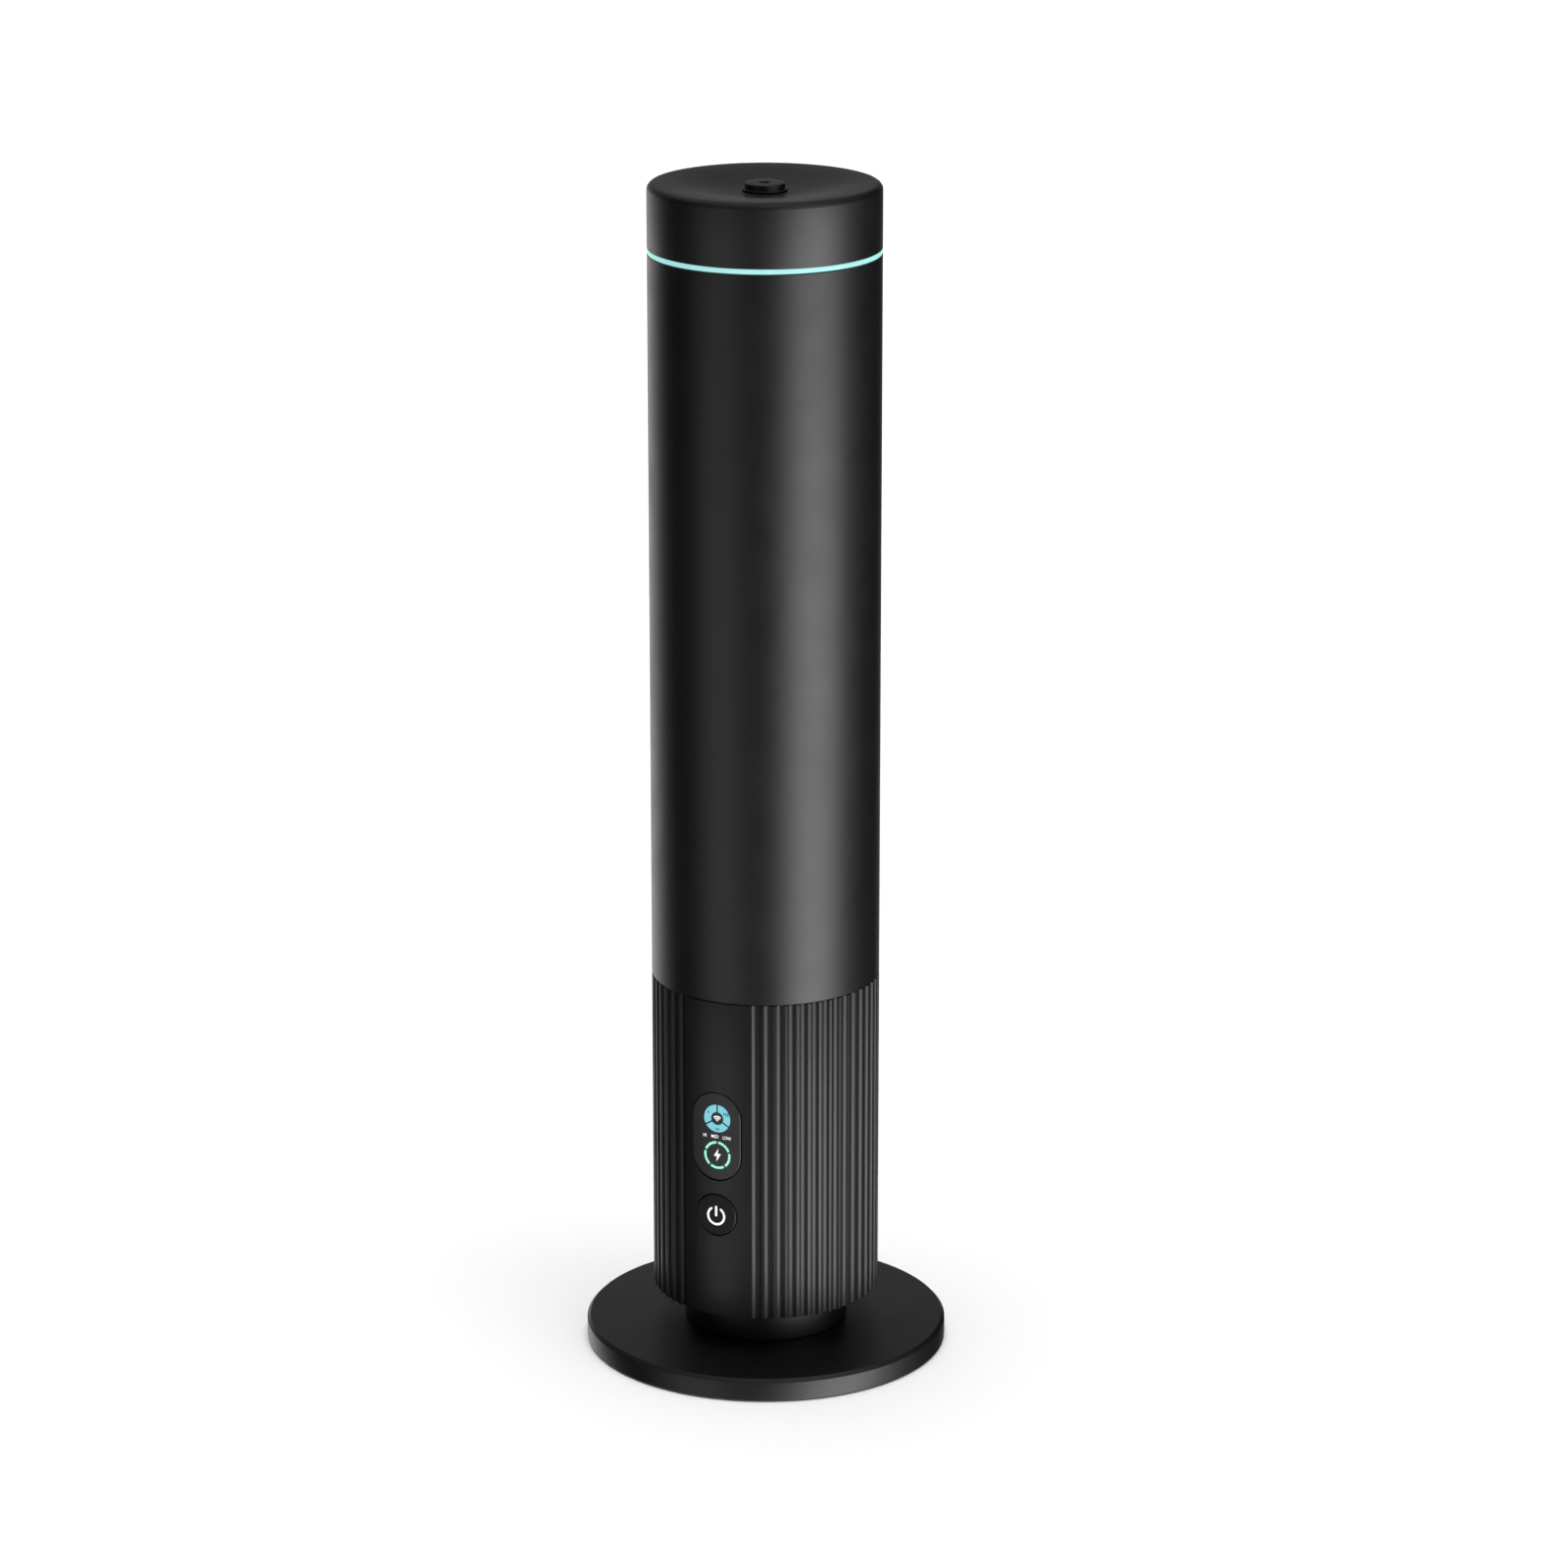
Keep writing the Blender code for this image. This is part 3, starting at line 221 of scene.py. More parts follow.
def disc(centre, radius, steps=48):
    """A round outline."""
    return arc_points(centre, radius, 0, 360 - 360 / steps, steps - 1)


def pill(width, height, centre_z, steps=32):
    """An upright outline with round ends."""
    radius = width / 2
    rise = height / 2 - radius
    return (arc_points((0, centre_z + rise), radius, -90, 90, steps)
            + arc_points((0, centre_z - rise), radius, 90, 270, steps))


def long_hole(width, height, centre_z, steps=16):
    """A level outline with round ends."""
    radius = height / 2
    reach = width / 2 - radius
    return (arc_points((reach, centre_z), radius, 0, 180, steps)
            + arc_points((-reach, centre_z), radius, 180, 360, steps))


def bar(centre, width, height, steps=8):
    """An upright bar with round ends."""
    return [(centre[0] + x, z) for x, z in pill(width, height, centre[1], steps)]


def baked(obj):
    """The evaluated mesh of an object, with the object itself removed."""
    bpy.context.view_layer.update()
    evaluated = obj.evaluated_get(bpy.context.evaluated_depsgraph_get())
    mesh = bpy.data.meshes.new_from_object(evaluated)
    mesh.transform(obj.matrix_world)
    bpy.data.objects.remove(obj, do_unlink=True)
    return mesh


def carved(mesh, cutters):
    """A mesh with the cutters' meshes taken out of it."""
    part = bpy.data.objects.new("part", mesh)
    bpy.context.scene.collection.objects.link(part)
    tools = []
    for cutter in cutters:
        tool = bpy.data.objects.new("tool", cutter)
        bpy.context.scene.collection.objects.link(tool)
        tools.append(tool)
        modifier = part.modifiers.new("cut", "BOOLEAN")
        modifier.operation = "DIFFERENCE"
        modifier.solver = "EXACT"
        modifier.object = tool
    result = baked(part)
    for tool in tools:
        bpy.data.objects.remove(tool, do_unlink=True)
    return smooth(result)


def block(low, high):
    """A plain block, used as a cutter."""
    mesh = bpy.data.meshes.new("block")
    work = bmesh.new()
    bmesh.ops.create_cube(work, size=1.0)
    for vertex in work.verts:
        vertex.co = [low[i] if vertex.co[i] < 0 else high[i] for i in range(3)]
    work.to_mesh(mesh)
    work.free()
    return mesh


def piece(name, mesh, material, body, stands_for=()):
    """A shown object that rides on a body and may stand for CAD nodes."""
    obj = bpy.data.objects.new(name, mesh)
    bpy.context.scene.collection.objects.link(obj)
    mesh.name = name
    mesh.materials.clear()
    mesh.materials.append(material)
    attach(obj, body)
    if stands_for:
        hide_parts(*stands_for)


# ---- Materials ---------------------------------------------------------------------------


class Tree:
    """Short ways to add nodes to one material or world."""

    def __init__(self, owner):
        owner.use_nodes = True
        self.nodes = owner.node_tree.nodes
        self.links = owner.node_tree.links

    def add(self, kind, inputs=(), **settings):
        node = self.nodes.new(kind)
        for name, value in settings.items():
            setattr(node, name, value)
        for key, value in dict(inputs).items():
            if isinstance(value, bpy.types.NodeSocket):
                self.links.new(value, node.inputs[key])
            else:
                node.inputs[key].default_value = value
        return node

    def math(self, operation, *values):
        """The result of one math node."""
        return self.add("ShaderNodeMath", dict(enumerate(values)), operation=operation).outputs[0]

    def noise(self, size, detail, where):
        """Noise between 0 and 1 whose features measure about size metres."""
        inputs = {"Scale": 1.0 / size, "Detail": detail, "Roughness": 0.55, "Vector": where}
        return self.add("ShaderNodeTexNoise", inputs).outputs["Fac"]

    def spread(self, value, low, high, start=0.3, end=0.7, shape="LINEAR"):
        """A value moved from start..end to low..high."""
        inputs = {"Value": value, "From Min": start, "From Max": end, "To Min": low, "To Max": high}
        return self.add("ShaderNodeMapRange", inputs, interpolation_type=shape).outputs["Result"]

    def tint(self, factor, colour, other):
        """A mix of two colours."""
        node = self.add("ShaderNodeMix", data_type="RGBA")
        self.links.new(factor, node.inputs["Factor"])
        node.inputs["A"].default_value = (*colour, 1.0)
        node.inputs["B"].default_value = (*other, 1.0)
        return node.outputs["Result"]


def scaled(colour, factor):
    """A colour made darker or lighter."""
    return tuple(channel * factor for channel in colour)


def grained(name, colour, roughness, grain, bump, contrast=0.3, metallic=0.0, specular=0.5,
            coat=0.0):
    """A surface with a fine blasted or moulded grain and a faint broad unevenness."""
    material = bpy.data.materials.new(name)
    tree = Tree(material)
    shader = tree.nodes["Principled BSDF"]
    where = tree.add("ShaderNodeTexCoord").outputs["Object"]
    fine = tree.noise(grain, 2.0, where)
    broad = tree.noise(18 * MM, 1.0, where)
    shade = tree.tint(fine, scaled(colour, 1 - contrast), scaled(colour, 1 + contrast))
    tree.links.new(shade, shader.inputs["Base Color"])
    mixed = tree.math("MULTIPLY_ADD", fine, 0.6, tree.math("MULTIPLY", broad, 0.4))
    tree.links.new(tree.spread(mixed, roughness - 0.05, roughness + 0.05),
                   shader.inputs["Roughness"])
    relief = tree.add("ShaderNodeBump", {"Height": fine, "Distance": bump, "Strength": 1.0})
    tree.links.new(relief.outputs["Normal"], shader.inputs["Normal"])
    shader.inputs["Metallic"].default_value = metallic
    shader.inputs["Specular IOR Level"].default_value = specular
    shader.inputs["Coat Weight"].default_value = coat
    shader.inputs["Coat Roughness"].default_value = 0.1
    return material


def lit(name, colour, mottle, size):
    """A translucent surface lit from inside, a little uneven."""
    material = bpy.data.materials.new(name)
    tree = Tree(material)
    shader = tree.nodes["Principled BSDF"]
    where = tree.add("ShaderNodeTexCoord").outputs["Object"]
    uneven = tree.noise(size, 1.0, where)
    glow = tree.tint(uneven, scaled(colour, 1 - mottle), scaled(colour, 1 + mottle))
    tree.links.new(glow, shader.inputs["Emission Color"])
    tree.links.new(tree.tint(uneven, scaled(colour, 0.35), scaled(colour, 0.45)),
                   shader.inputs["Base Color"])
    shader.inputs["Emission Strength"].default_value = 1.0
    shader.inputs["Roughness"].default_value = 0.45
    return material


def glass(name, colour):
    """Clear tinted glass with the faint waves of a blown bottle."""
    material = bpy.data.materials.new(name)
    tree = Tree(material)
    shader = tree.nodes["Principled BSDF"]
    where = tree.add("ShaderNodeTexCoord").outputs["Object"]
    waves = tree.noise(14 * MM, 1.0, where)
    tree.links.new(tree.tint(waves, scaled(colour, 0.92), colour), shader.inputs["Base Color"])
    relief = tree.add("ShaderNodeBump", {"Height": waves, "Distance": 0.15 * MM, "Strength": 0.4})
    tree.links.new(relief.outputs["Normal"], shader.inputs["Normal"])
    shader.inputs["Transmission Weight"].default_value = 1.0
    shader.inputs["Roughness"].default_value = 0.03
    shader.inputs["IOR"].default_value = 1.5
    return material


def brushed(name, colour, roughness, squeeze):
    """Bare metal with fine drawn lines, noise that is squeezed along each axis."""
    material = bpy.data.materials.new(name)
    tree = Tree(material)
    shader = tree.nodes["Principled BSDF"]
    where = tree.add("ShaderNodeTexCoord").outputs["Object"]
    stretched = tree.add("ShaderNodeMapping", {"Vector": where, "Scale": squeeze})
    lines = tree.noise(0.4 * MM, 3.0, stretched.outputs["Vector"])
    tree.links.new(tree.tint(lines, scaled(colour, 0.8), colour), shader.inputs["Base Color"])
    tree.links.new(tree.spread(lines, roughness - 0.08, roughness + 0.08),
                   shader.inputs["Roughness"])
    shader.inputs["Metallic"].default_value = 1.0
    return material


def board_material(name):
    """Solder mask over copper tracks."""
    material = bpy.data.materials.new(name)
    tree = Tree(material)
    shader = tree.nodes["Principled BSDF"]
    where = tree.add("ShaderNodeTexCoord").outputs["Object"]
    tracks = tree.add("ShaderNodeTexBrick", {
        "Vector": where, "Scale": 260.0, "Mortar Size": 0.03, "Color1": (0.010, 0.070, 0.032, 1),
        "Color2": (0.014, 0.090, 0.040, 1), "Mortar": (0.045, 0.190, 0.075, 1)})
    tree.links.new(tracks.outputs["Color"], shader.inputs["Base Color"])
    tree.links.new(tree.spread(tree.noise(5 * MM, 1.0, where), 0.3, 0.45),
                   shader.inputs["Roughness"])
    shader.inputs["Coat Weight"].default_value = 0.3
    return material


BLACK = (0.0028, 0.0028, 0.0029)
MATERIALS = {
    "satin_black": grained("satin_black", BLACK, 0.42, 0.45 * MM, 0.012 * MM),
    "anodised_black": grained("anodised_black", BLACK, 0.40, 0.38 * MM, 0.014 * MM, 0.4),
    "inner_black": grained("inner_black", (0.018, 0.018, 0.019), 0.55, 0.6 * MM, 0.02 * MM),
    "gloss_black": grained("gloss_black", (0.006, 0.006, 0.0065), 0.30, 0.5 * MM, 0.002 * MM, 0.1),
    "button_black": grained("button_black", (0.004, 0.004, 0.004), 0.50, 0.3 * MM, 0.006 * MM,
                            specular=0.3),
    "rubber": grained("rubber", (0.016, 0.016, 0.016), 0.80, 0.5 * MM, 0.04 * MM, specular=0.3),
    "silicone": grained("silicone", (0.62, 0.63, 0.60), 0.45, 0.9 * MM, 0.01 * MM, 0.06),
    "steel": brushed("steel", (0.55, 0.55, 0.54), 0.30, (1, 1, 6)),
    "nickel": brushed("nickel", (0.66, 0.63, 0.58), 0.26, (1, 1, 0.2)),
    "circuit_board": board_material("circuit_board"),
    "battery_wrap": grained("battery_wrap", (0.030, 0.150, 0.320), 0.35, 0.8 * MM, 0.01 * MM, 0.1,
                            coat=0.4),
    "opal_plastic": grained("opal_plastic", (0.78, 0.80, 0.80), 0.45, 0.7 * MM, 0.01 * MM, 0.05),
    "light_cyan": lit("light_cyan", (0.29, 0.60, 0.585), 0.08, 6 * MM),
    "amber_glass": glass("amber_glass", (0.78, 0.36, 0.10)),
    "white_plastic": grained("white_plastic", (0.70, 0.70, 0.68), 0.45, 0.6 * MM, 0.01 * MM, 0.05),
    "filter_foam": grained("filter_foam", (0.09, 0.09, 0.10), 0.95, 0.9 * MM, 0.5 * MM, 0.6),
    "lead_red": grained("lead_red", (0.42, 0.02, 0.02), 0.45, 0.8 * MM, 0.01 * MM, 0.1),
}
WHITE_MARK = lit("white_mark", (0.80, 0.80, 0.80), 0.03, 2 * MM)
CYAN_MARK = lit("cyan_mark", (0.15, 0.46, 0.54), 0.06, 3 * MM)
MINT_MARK = lit("mint_mark", (0.26, 0.74, 0.54), 0.06, 3 * MM)
DARK_MARK = grained("dark_mark", (0.010, 0.10, 0.14), 0.5, 0.4 * MM, 0.002 * MM)

for entry in frame["record"]["subparts"]:
    node = frame["nodes"][entry["node"]]
    node.data.materials.clear()
    node.data.materials.append(MATERIALS[entry["material_slot"]])


def part(name, mesh, body, slot):
    """A fine piece in one of the record's finishes, which stands for the CAD node of its name."""
    piece(name + "_fine", mesh, MATERIALS[slot], body, (name,))


# ---- Base and neck -----------------------------------------------------------------------

EDGE = 0.3 * MM               # radius of the small edges
BASE_CHAMFER = 1.5 * MM
BASE_WALL = 2.5 * MM
NECK_WALL = 3.5 * MM
NECK_WEB = 3 * MM              # the neck's thin web, which its screws go through
NECK_BORE = 10 * MM
COVER_GROOVE = 0.3 * MM       # depth of the cover's ring groove and of its middle recess
COVER_GROOVE_R = (50 * MM, 52 * MM)
COVER_RECESS_R = 20 * MM
COVER_SCREW_RING = 70 * MM
COVER_SCREW_ANGLES = (90, 210, 330)
SCREW_RECESS_R = 2.9 * MM
SCREW_RECESS_TOP = 2.4 * MM
SCREW_HEAD_H = 1 * MM
SCREW_SHANK_R = 1.2 * MM
CROSS_ARM = 1.5 * MM
CROSS_HALF_W = 0.3 * MM
CROSS_DEPTH = 0.6 * MM
BELOW = -5 * MM               # a level below the part, where cutters start


def base():
    low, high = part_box("base_plate")
    outer = high.x
    inner = outer - BASE_WALL
    part("base_plate", turned([
        (0, high.z, 0), (outer - BASE_CHAMFER, high.z, 0.25 * MM),
        (outer, high.z - BASE_CHAMFER, 0.25 * MM), (outer, low.z, 0.25 * MM), (inner, low.z, 0.2 * MM),
        (inner, high.z - BASE_WALL, 0.2 * MM), (0, high.z - BASE_WALL, 0),
    ], closed=False), "tower", "satin_black")
    cover()
    for number in range(1, 5):
        foot_pad(f"foot_pad_{number}")
    for number in range(1, 4):
        base_screw(f"base_screw_{number}")


def foot_pad(name):
    low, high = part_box(name)
    middle = (low + high) / 2
    radius = (high.x - low.x) / 2
    part(name, turned([
        (0, high.z, 0), (radius, high.z, 0), (radius, low.z, 0.25 * MM), (0, low.z, 0),
    ], SMALL_SIDES, False, (middle.x, middle.y)), "tower", "rubber")


def cover():
    """The cover below the base: a shallow ring groove, and recesses for its screws."""
    low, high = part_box("base_cover")
    deep = low.z + COVER_GROOVE
    inner, outer = COVER_GROOVE_R
    mesh = turned([
        (0, high.z, 0), (high.x, high.z, EDGE), (high.x, low.z, EDGE), (outer, low.z, 0.1 * MM),
        (outer, deep, 0.1 * MM), (inner, deep, 0.1 * MM), (inner, low.z, 0.1 * MM),
        (COVER_RECESS_R, low.z, 0.1 * MM), (COVER_RECESS_R, deep, 0.1 * MM), (0, deep, 0),
    ], closed=False)
    cutters = []
    for angle in COVER_SCREW_ANGLES:
        turn = math.radians(angle)
        spot = (COVER_SCREW_RING * math.cos(turn), COVER_SCREW_RING * math.sin(turn))
        cutters.append(turned([
            (0, SCREW_RECESS_TOP, 0), (SCREW_RECESS_R, SCREW_RECESS_TOP, 0),
            (SCREW_RECESS_R, BELOW, 0), (0, BELOW, 0),
        ], 32, False, spot))
    part("base_cover", carved(mesh, cutters), "tower", "inner_black")


def base_screw(name):
    """A pan head with a cross recess, seen from below."""
    low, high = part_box(name)
    middle = (low + high) / 2
    head_r = (high.x - low.x) / 2
    head_top = low.z + SCREW_HEAD_H
    mesh = turned([
        (0, high.z, 0), (SCREW_SHANK_R, high.z, 0.2 * MM), (SCREW_SHANK_R, head_top, 0),
        (head_r, head_top, 0), (head_r, low.z, 0.4 * MM), (0, low.z, 0),
    ], 48, False, (middle.x, middle.y))
    cutters = []
    for reach in ((CROSS_ARM, CROSS_HALF_W), (CROSS_HALF_W, CROSS_ARM)):
        cutters.append(block((middle.x - reach[0], middle.y - reach[1], BELOW),
                             (middle.x + reach[0], middle.y + reach[1], low.z + CROSS_DEPTH)))
    part(name, carved(mesh, cutters), "tower", "steel")


def neck():
    low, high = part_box("neck_collar")
    inner = high.x - NECK_WALL
    web = high.z - NECK_WEB
    part("neck_collar", turned([
        (high.x, high.z, EDGE), (high.x, low.z, EDGE), (inner, low.z, EDGE), (inner, web, EDGE),
        (NECK_BORE, web, EDGE), (NECK_BORE, high.z, EDGE),
    ]), "tower", "satin_black")


# ---- Lower housing and panel -------------------------------------------------------------

RIBS = 60
RIB_DEPTH = 0.9 * MM
RIB_CREST = 0.125             # half width of a rib's flat crest, as a share of the pitch
RIB_STEPS = 24                # points to a pitch
PANEL_RIBS = 3                # pitches on each side of the panel's centre without valleys
HOUSING_WALL = 4.0 * MM
WINDOW_GAP = 0.45 * MM
BUTTON_GAP = 0.4 * MM
PORT_HOLE_W = 13.0 * MM
PORT_HOLE_H = 7.4 * MM
LIGHT_HOLE_RIM = 2 * MM       # how far the hole behind the window stays inside its outline
INSIDE = 30 * MM              # levels inside and outside the wall, where cutters end
OUTSIDE = 60 * MM
BOTTOM_CAP_T = 3 * MM
AIR_SLOTS = 12
AIR_SLOT_RING = 40.5 * MM
AIR_SLOT_L = 6 * MM
AIR_SLOT_W = 2 * MM


def rib_radius(crest):
    """The housing's radius at an angle: round grooves between flat crests, none on the panel."""
    half_width = (0.5 - RIB_CREST) * math.tau * crest / RIBS
    arc = (half_width ** 2 + RIB_DEPTH ** 2) / (2 * RIB_DEPTH)
    def radius(angle):
        pitches = (angle + math.pi / 2) / math.tau * RIBS
        from_panel = abs((pitches + RIBS / 2) % RIBS - RIBS / 2)
        if from_panel < PANEL_RIBS:
            return crest
        share = abs(pitches - round(pitches))
        if share <= RIB_CREST:
            return crest
        off_centre = half_width * (0.5 - share) / (0.5 - RIB_CREST)
        return crest - (math.sqrt(arc ** 2 - off_centre ** 2) - (arc - RIB_DEPTH))
    return radius


def prism(outline, front, back):
    """A straight cutter between two levels along Y."""
    return slab(lambda inset: outline, [(0, back), (0, front)])


def housing():
    low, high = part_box("lower_housing")
    crest = high.x
    inner = crest - HOUSING_WALL
    edge = 0.35 * MM
    bevel = 0.1 * MM
    levels = [(edge, low.z), (bevel, low.z + bevel), (0, low.z + edge),
              (0, high.z - edge), (bevel, high.z - bevel), (edge, high.z)]
    shell = fluted(inner, levels, rib_radius(crest), RIBS * RIB_STEPS)
    window_low, window_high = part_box("display_window")
    width = window_high.x - window_low.x
    height = window_high.z - window_low.z
    middle = (window_high.z + window_low.z) / 2
    pocket = pill(width + 2 * WINDOW_GAP, height + 2 * WINDOW_GAP, middle)
    light_hole = pill(width - 2 * LIGHT_HOLE_RIM, height - 2 * LIGHT_HOLE_RIM, middle)
    button_low, button_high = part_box("power_button")
    button_z = (button_low.z + button_high.z) / 2
    button_hole = disc((0, button_z), BUTTON_R + BUTTON_GAP, 96)
    port_low, port_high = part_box("charge_port")
    port_z = (port_low.z + port_high.z) / 2
    mesh = carved(shell, [
        prism(pocket, -OUTSIDE, window_high.y + WINDOW_GAP),
        prism(light_hole, -OUTSIDE, -INSIDE),
        prism(button_hole, -OUTSIDE, -INSIDE),
        prism(long_hole(PORT_HOLE_W, PORT_HOLE_H, port_z), INSIDE, OUTSIDE),
    ])
    part("lower_housing", mesh, "tower", "satin_black")


def bottom_cap():
    """The plate below the housing, with its ring of air slots."""
    low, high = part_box("bottom_cap")
    plate_top = low.z + BOTTOM_CAP_T
    mesh = turned([
        (0, plate_top, 0), (high.x, plate_top, EDGE), (high.x, low.z, EDGE), (0, low.z, 0),
    ], closed=False)
    outline = [(x + AIR_SLOT_RING, z) for x, z in long_hole(AIR_SLOT_L, AIR_SLOT_W, 0)]
    cutters = []
    for i in range(AIR_SLOTS):
        cutter = prism(outline, 2 * high.z, -2 * high.z)
        turn = Euler((math.radians(90), 0, math.tau * (i + 0.5) / AIR_SLOTS))
        cutter.transform(turn.to_matrix().to_4x4())
        cutters.append(cutter)
    part("bottom_cap", carved(mesh, cutters), "tower", "inner_black")


def soft_front(front, edge, steps):
    """(inset, y) levels over a rounded front edge."""
    levels = [(0, front + edge)]
    for step in range(1, steps + 1):
        angle = math.pi / 2 * step / steps
        levels.append((edge * (1 - math.cos(angle)), front + edge * (1 - math.sin(angle))))
    return levels


def window():
    low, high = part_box("display_window")
    width = high.x - low.x
    height = high.z - low.z
    middle = (high.z + low.z) / 2
    levels = [(0, high.y)] + soft_front(low.y, 0.35 * MM, 3)
    mesh = slab(lambda inset: pill(width - 2 * inset, height - 2 * inset, middle), levels)
    part("display_window", mesh, "tower", "gloss_black")
    display_marks(low.y, middle)


MARK_T = 0.03 * MM            # how far the marks stand proud of the window and the button
DIAL_RISE = 8.3 * MM          # the level dial's centre above the window's centre
DIAL_R = 6.3 * MM
DIAL_HOLE = 2.95 * MM
CHARGE_DROP = 8.6 * MM        # the battery ring's centre below the window's centre
CHARGE_R = 6.35 * MM
CHARGE_T = 1.05 * MM
DIAL_GAP = 0.7 * MM
CHARGE_GAP = 0.9 * MM
MARKS_X = 0.4 * MM            # the marks' centre line, off the window's
WAVE_DROP = 1.35 * MM         # the wireless mark's corner below the dial's centre
WAVE_DOT_R = 0.7 * MM
WAVE_BANDS = ((1.05 * MM, 1.6 * MM), (1.95 * MM, 2.6 * MM))
BOLT = ((0.5, 3.0), (-1.7, -0.5), (-0.15, -0.5), (-0.5, -3.0), (1.7, 0.6), (0.15, 0.6))
LEGEND = (("HI", -6.0 * MM), ("MED", -1.2 * MM), ("LOW", 4.6 * MM))
LEGEND_DROP = 0.8 * MM        # the legend's baseline below the window's centre
LETTER_H = 1.5 * MM
CAPITALS = 0.73               # height of the font's capitals, as a share of its size
LETTER_SHAPE = 0.85           # width of the letters, as a share of the font's


def display_marks(face, middle):
    dial = (MARKS_X, middle + DIAL_RISE)
    charge = (MARKS_X, middle - CHARGE_DROP)
    front = face - MARK_T
    back = face + MARK_T
    thirds = [parted_band(dial, DIAL_HOLE, DIAL_R, turn, turn + 120, DIAL_GAP)
              for turn in (0, 120, 240)]
    piece("level_dial", marks(thirds, front, back), CYAN_MARK, "tower")
    piece("level_bars", marks(level_bars(dial), front - MARK_T, face), DARK_MARK, "tower")
    fifths = [parted_band(charge, CHARGE_R - CHARGE_T, CHARGE_R, turn, turn + 72, CHARGE_GAP)
              for turn in range(0, 360, 72)]
    piece("battery_ring", marks(fifths, front, back), MINT_MARK, "tower")
    corner = (dial[0], dial[1] - WAVE_DROP)
    waves = [band(corner, inner, outer, -45, 45) for inner, outer in WAVE_BANDS]
    waves.append([corner] + arc_points(corner, WAVE_DOT_R, -45, 45, 8))
    piece("wireless_mark", marks(waves, front, back), WHITE_MARK, "tower")
    bolt = [(charge[0] + x * MM, charge[1] + z * MM) for x, z in BOLT]
    piece("charge_mark", marks([bolt], front, back), WHITE_MARK, "tower")
    for word, x in LEGEND:
        legend(word, MARKS_X + x, middle - LEGEND_DROP, front, back)


BAR_RING = 4.9 * MM           # distance of the bars from the dial's centre
BAR_PITCH = 1.0 * MM
BAR_W = 0.5 * MM
BAR_H = 1.3 * MM
BAR_GROWTH = 0.3 * MM


def level_bars(dial):
    """Rising bars in the dial's three stretches: one, two and three."""
    bars = []
    for count, turn in ((1, 300), (3, 60), (2, 180)):
        angle = math.radians(turn)
        middle = dial[0] + BAR_RING * math.sin(angle)
        z = dial[1] + BAR_RING * math.cos(angle)
        for i in range(count):
            x = middle + (i - (count - 1) / 2) * BAR_PITCH
            bars.append(bar((x, z), BAR_W, BAR_H + BAR_GROWTH * i, 4))
    return bars


def legend(word, x, z, front, back):
    """A word of the strength legend."""
    curve = bpy.data.curves.new("legend", "FONT")
    curve.body = word
    curve.align_x = "CENTER"
    curve.size = LETTER_H / CAPITALS
    curve.offset = 0.02 * MM
    curve.extrude = (back - front) / 2
    obj = bpy.data.objects.new("legend", curve)
    bpy.context.scene.collection.objects.link(obj)
    obj.rotation_euler.x = math.radians(90)
    obj.scale.x = LETTER_SHAPE
    obj.location = (x, (front + back) / 2, z)
    piece("legend_" + word.lower(), baked(obj), WHITE_MARK, "tower")


BUTTON_R = 9.5 * MM
POWER_R = 4.4 * MM
POWER_T = 1.0 * MM
POWER_GAP = 36                # half of the ring's opening, in degrees
POWER_X = 0.1 * MM            # the mark's centre, off the button's
POWER_DROP = 0.35 * MM
STEM_RISE = 2.15 * MM         # the stem's middle above the ring's centre
STEM_W = 1.05 * MM
STEM_L = 4.9 * MM
FLANGE_T = 1.2 * MM


def button():
    low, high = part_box("power_button")
    flange_r = (high.x - low.x) / 2
    flange_y = high.y - FLANGE_T
    step_in = flange_r - BUTTON_R
    middle = (low.z + high.z) / 2
    levels = [(0, high.y), (0, flange_y), (step_in, flange_y)]
    for inset, y in soft_front(low.y, 0.8 * MM, 6):
        levels.append((step_in + inset, y))
    mesh = slab(lambda inset: disc((0, middle), flange_r - inset, 96), levels)
    part("power_button", mesh, "power_button", "button_black")
    centre = (POWER_X, middle - POWER_DROP)
    ring = round_band(centre, POWER_R - POWER_T / 2, POWER_T, POWER_GAP, 360 - POWER_GAP)
    stem = bar((centre[0], centre[1] + STEM_RISE), STEM_W, STEM_L, 12)
    piece("power_mark", marks([ring, stem], low.y - MARK_T, low.y + MARK_T), WHITE_MARK,
          "power_button")


PORT_WALL = 0.35 * MM
PORT_FLOOR = 1.4 * MM         # the socket's floor above its back
TONGUE_W = 6.6 * MM
TONGUE_H = 0.7 * MM


def charge_port():
    """The socket's shell with round ends, and the tongue in it."""
    low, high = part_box("charge_port")
    width = high.x - low.x
    height = high.z - low.z
    middle = (low.z + high.z) / 2
    shell = slab(lambda inset: long_hole(width - 2 * inset, height - 2 * inset, middle), [
        (0, low.y), (0, high.y - 0.1 * MM), (0.08 * MM, high.y), (PORT_WALL, high.y),
        (PORT_WALL, low.y + PORT_FLOOR)])
    part("charge_port", shell, "tower", "nickel")
    tongue = slab(lambda inset: long_hole(TONGUE_W - 2 * inset, TONGUE_H - 2 * inset, middle), [
        (0, low.y + MM), (0, high.y - 1.4 * MM), (0.2 * MM, high.y - 1.2 * MM)])
    piece("charge_tongue", tongue, MATERIALS["inner_black"], "tower")


# ---- Tube, light ring and what shows inside ----------------------------------------------

TUBE_WALL = 2.5 * MM
TOP_FRAME_R = 43.2 * MM
LIGHT_BORE = 46.6 * MM
LIGHT_DROP = 0.35 * MM        # the light ring's top below its CAD node's


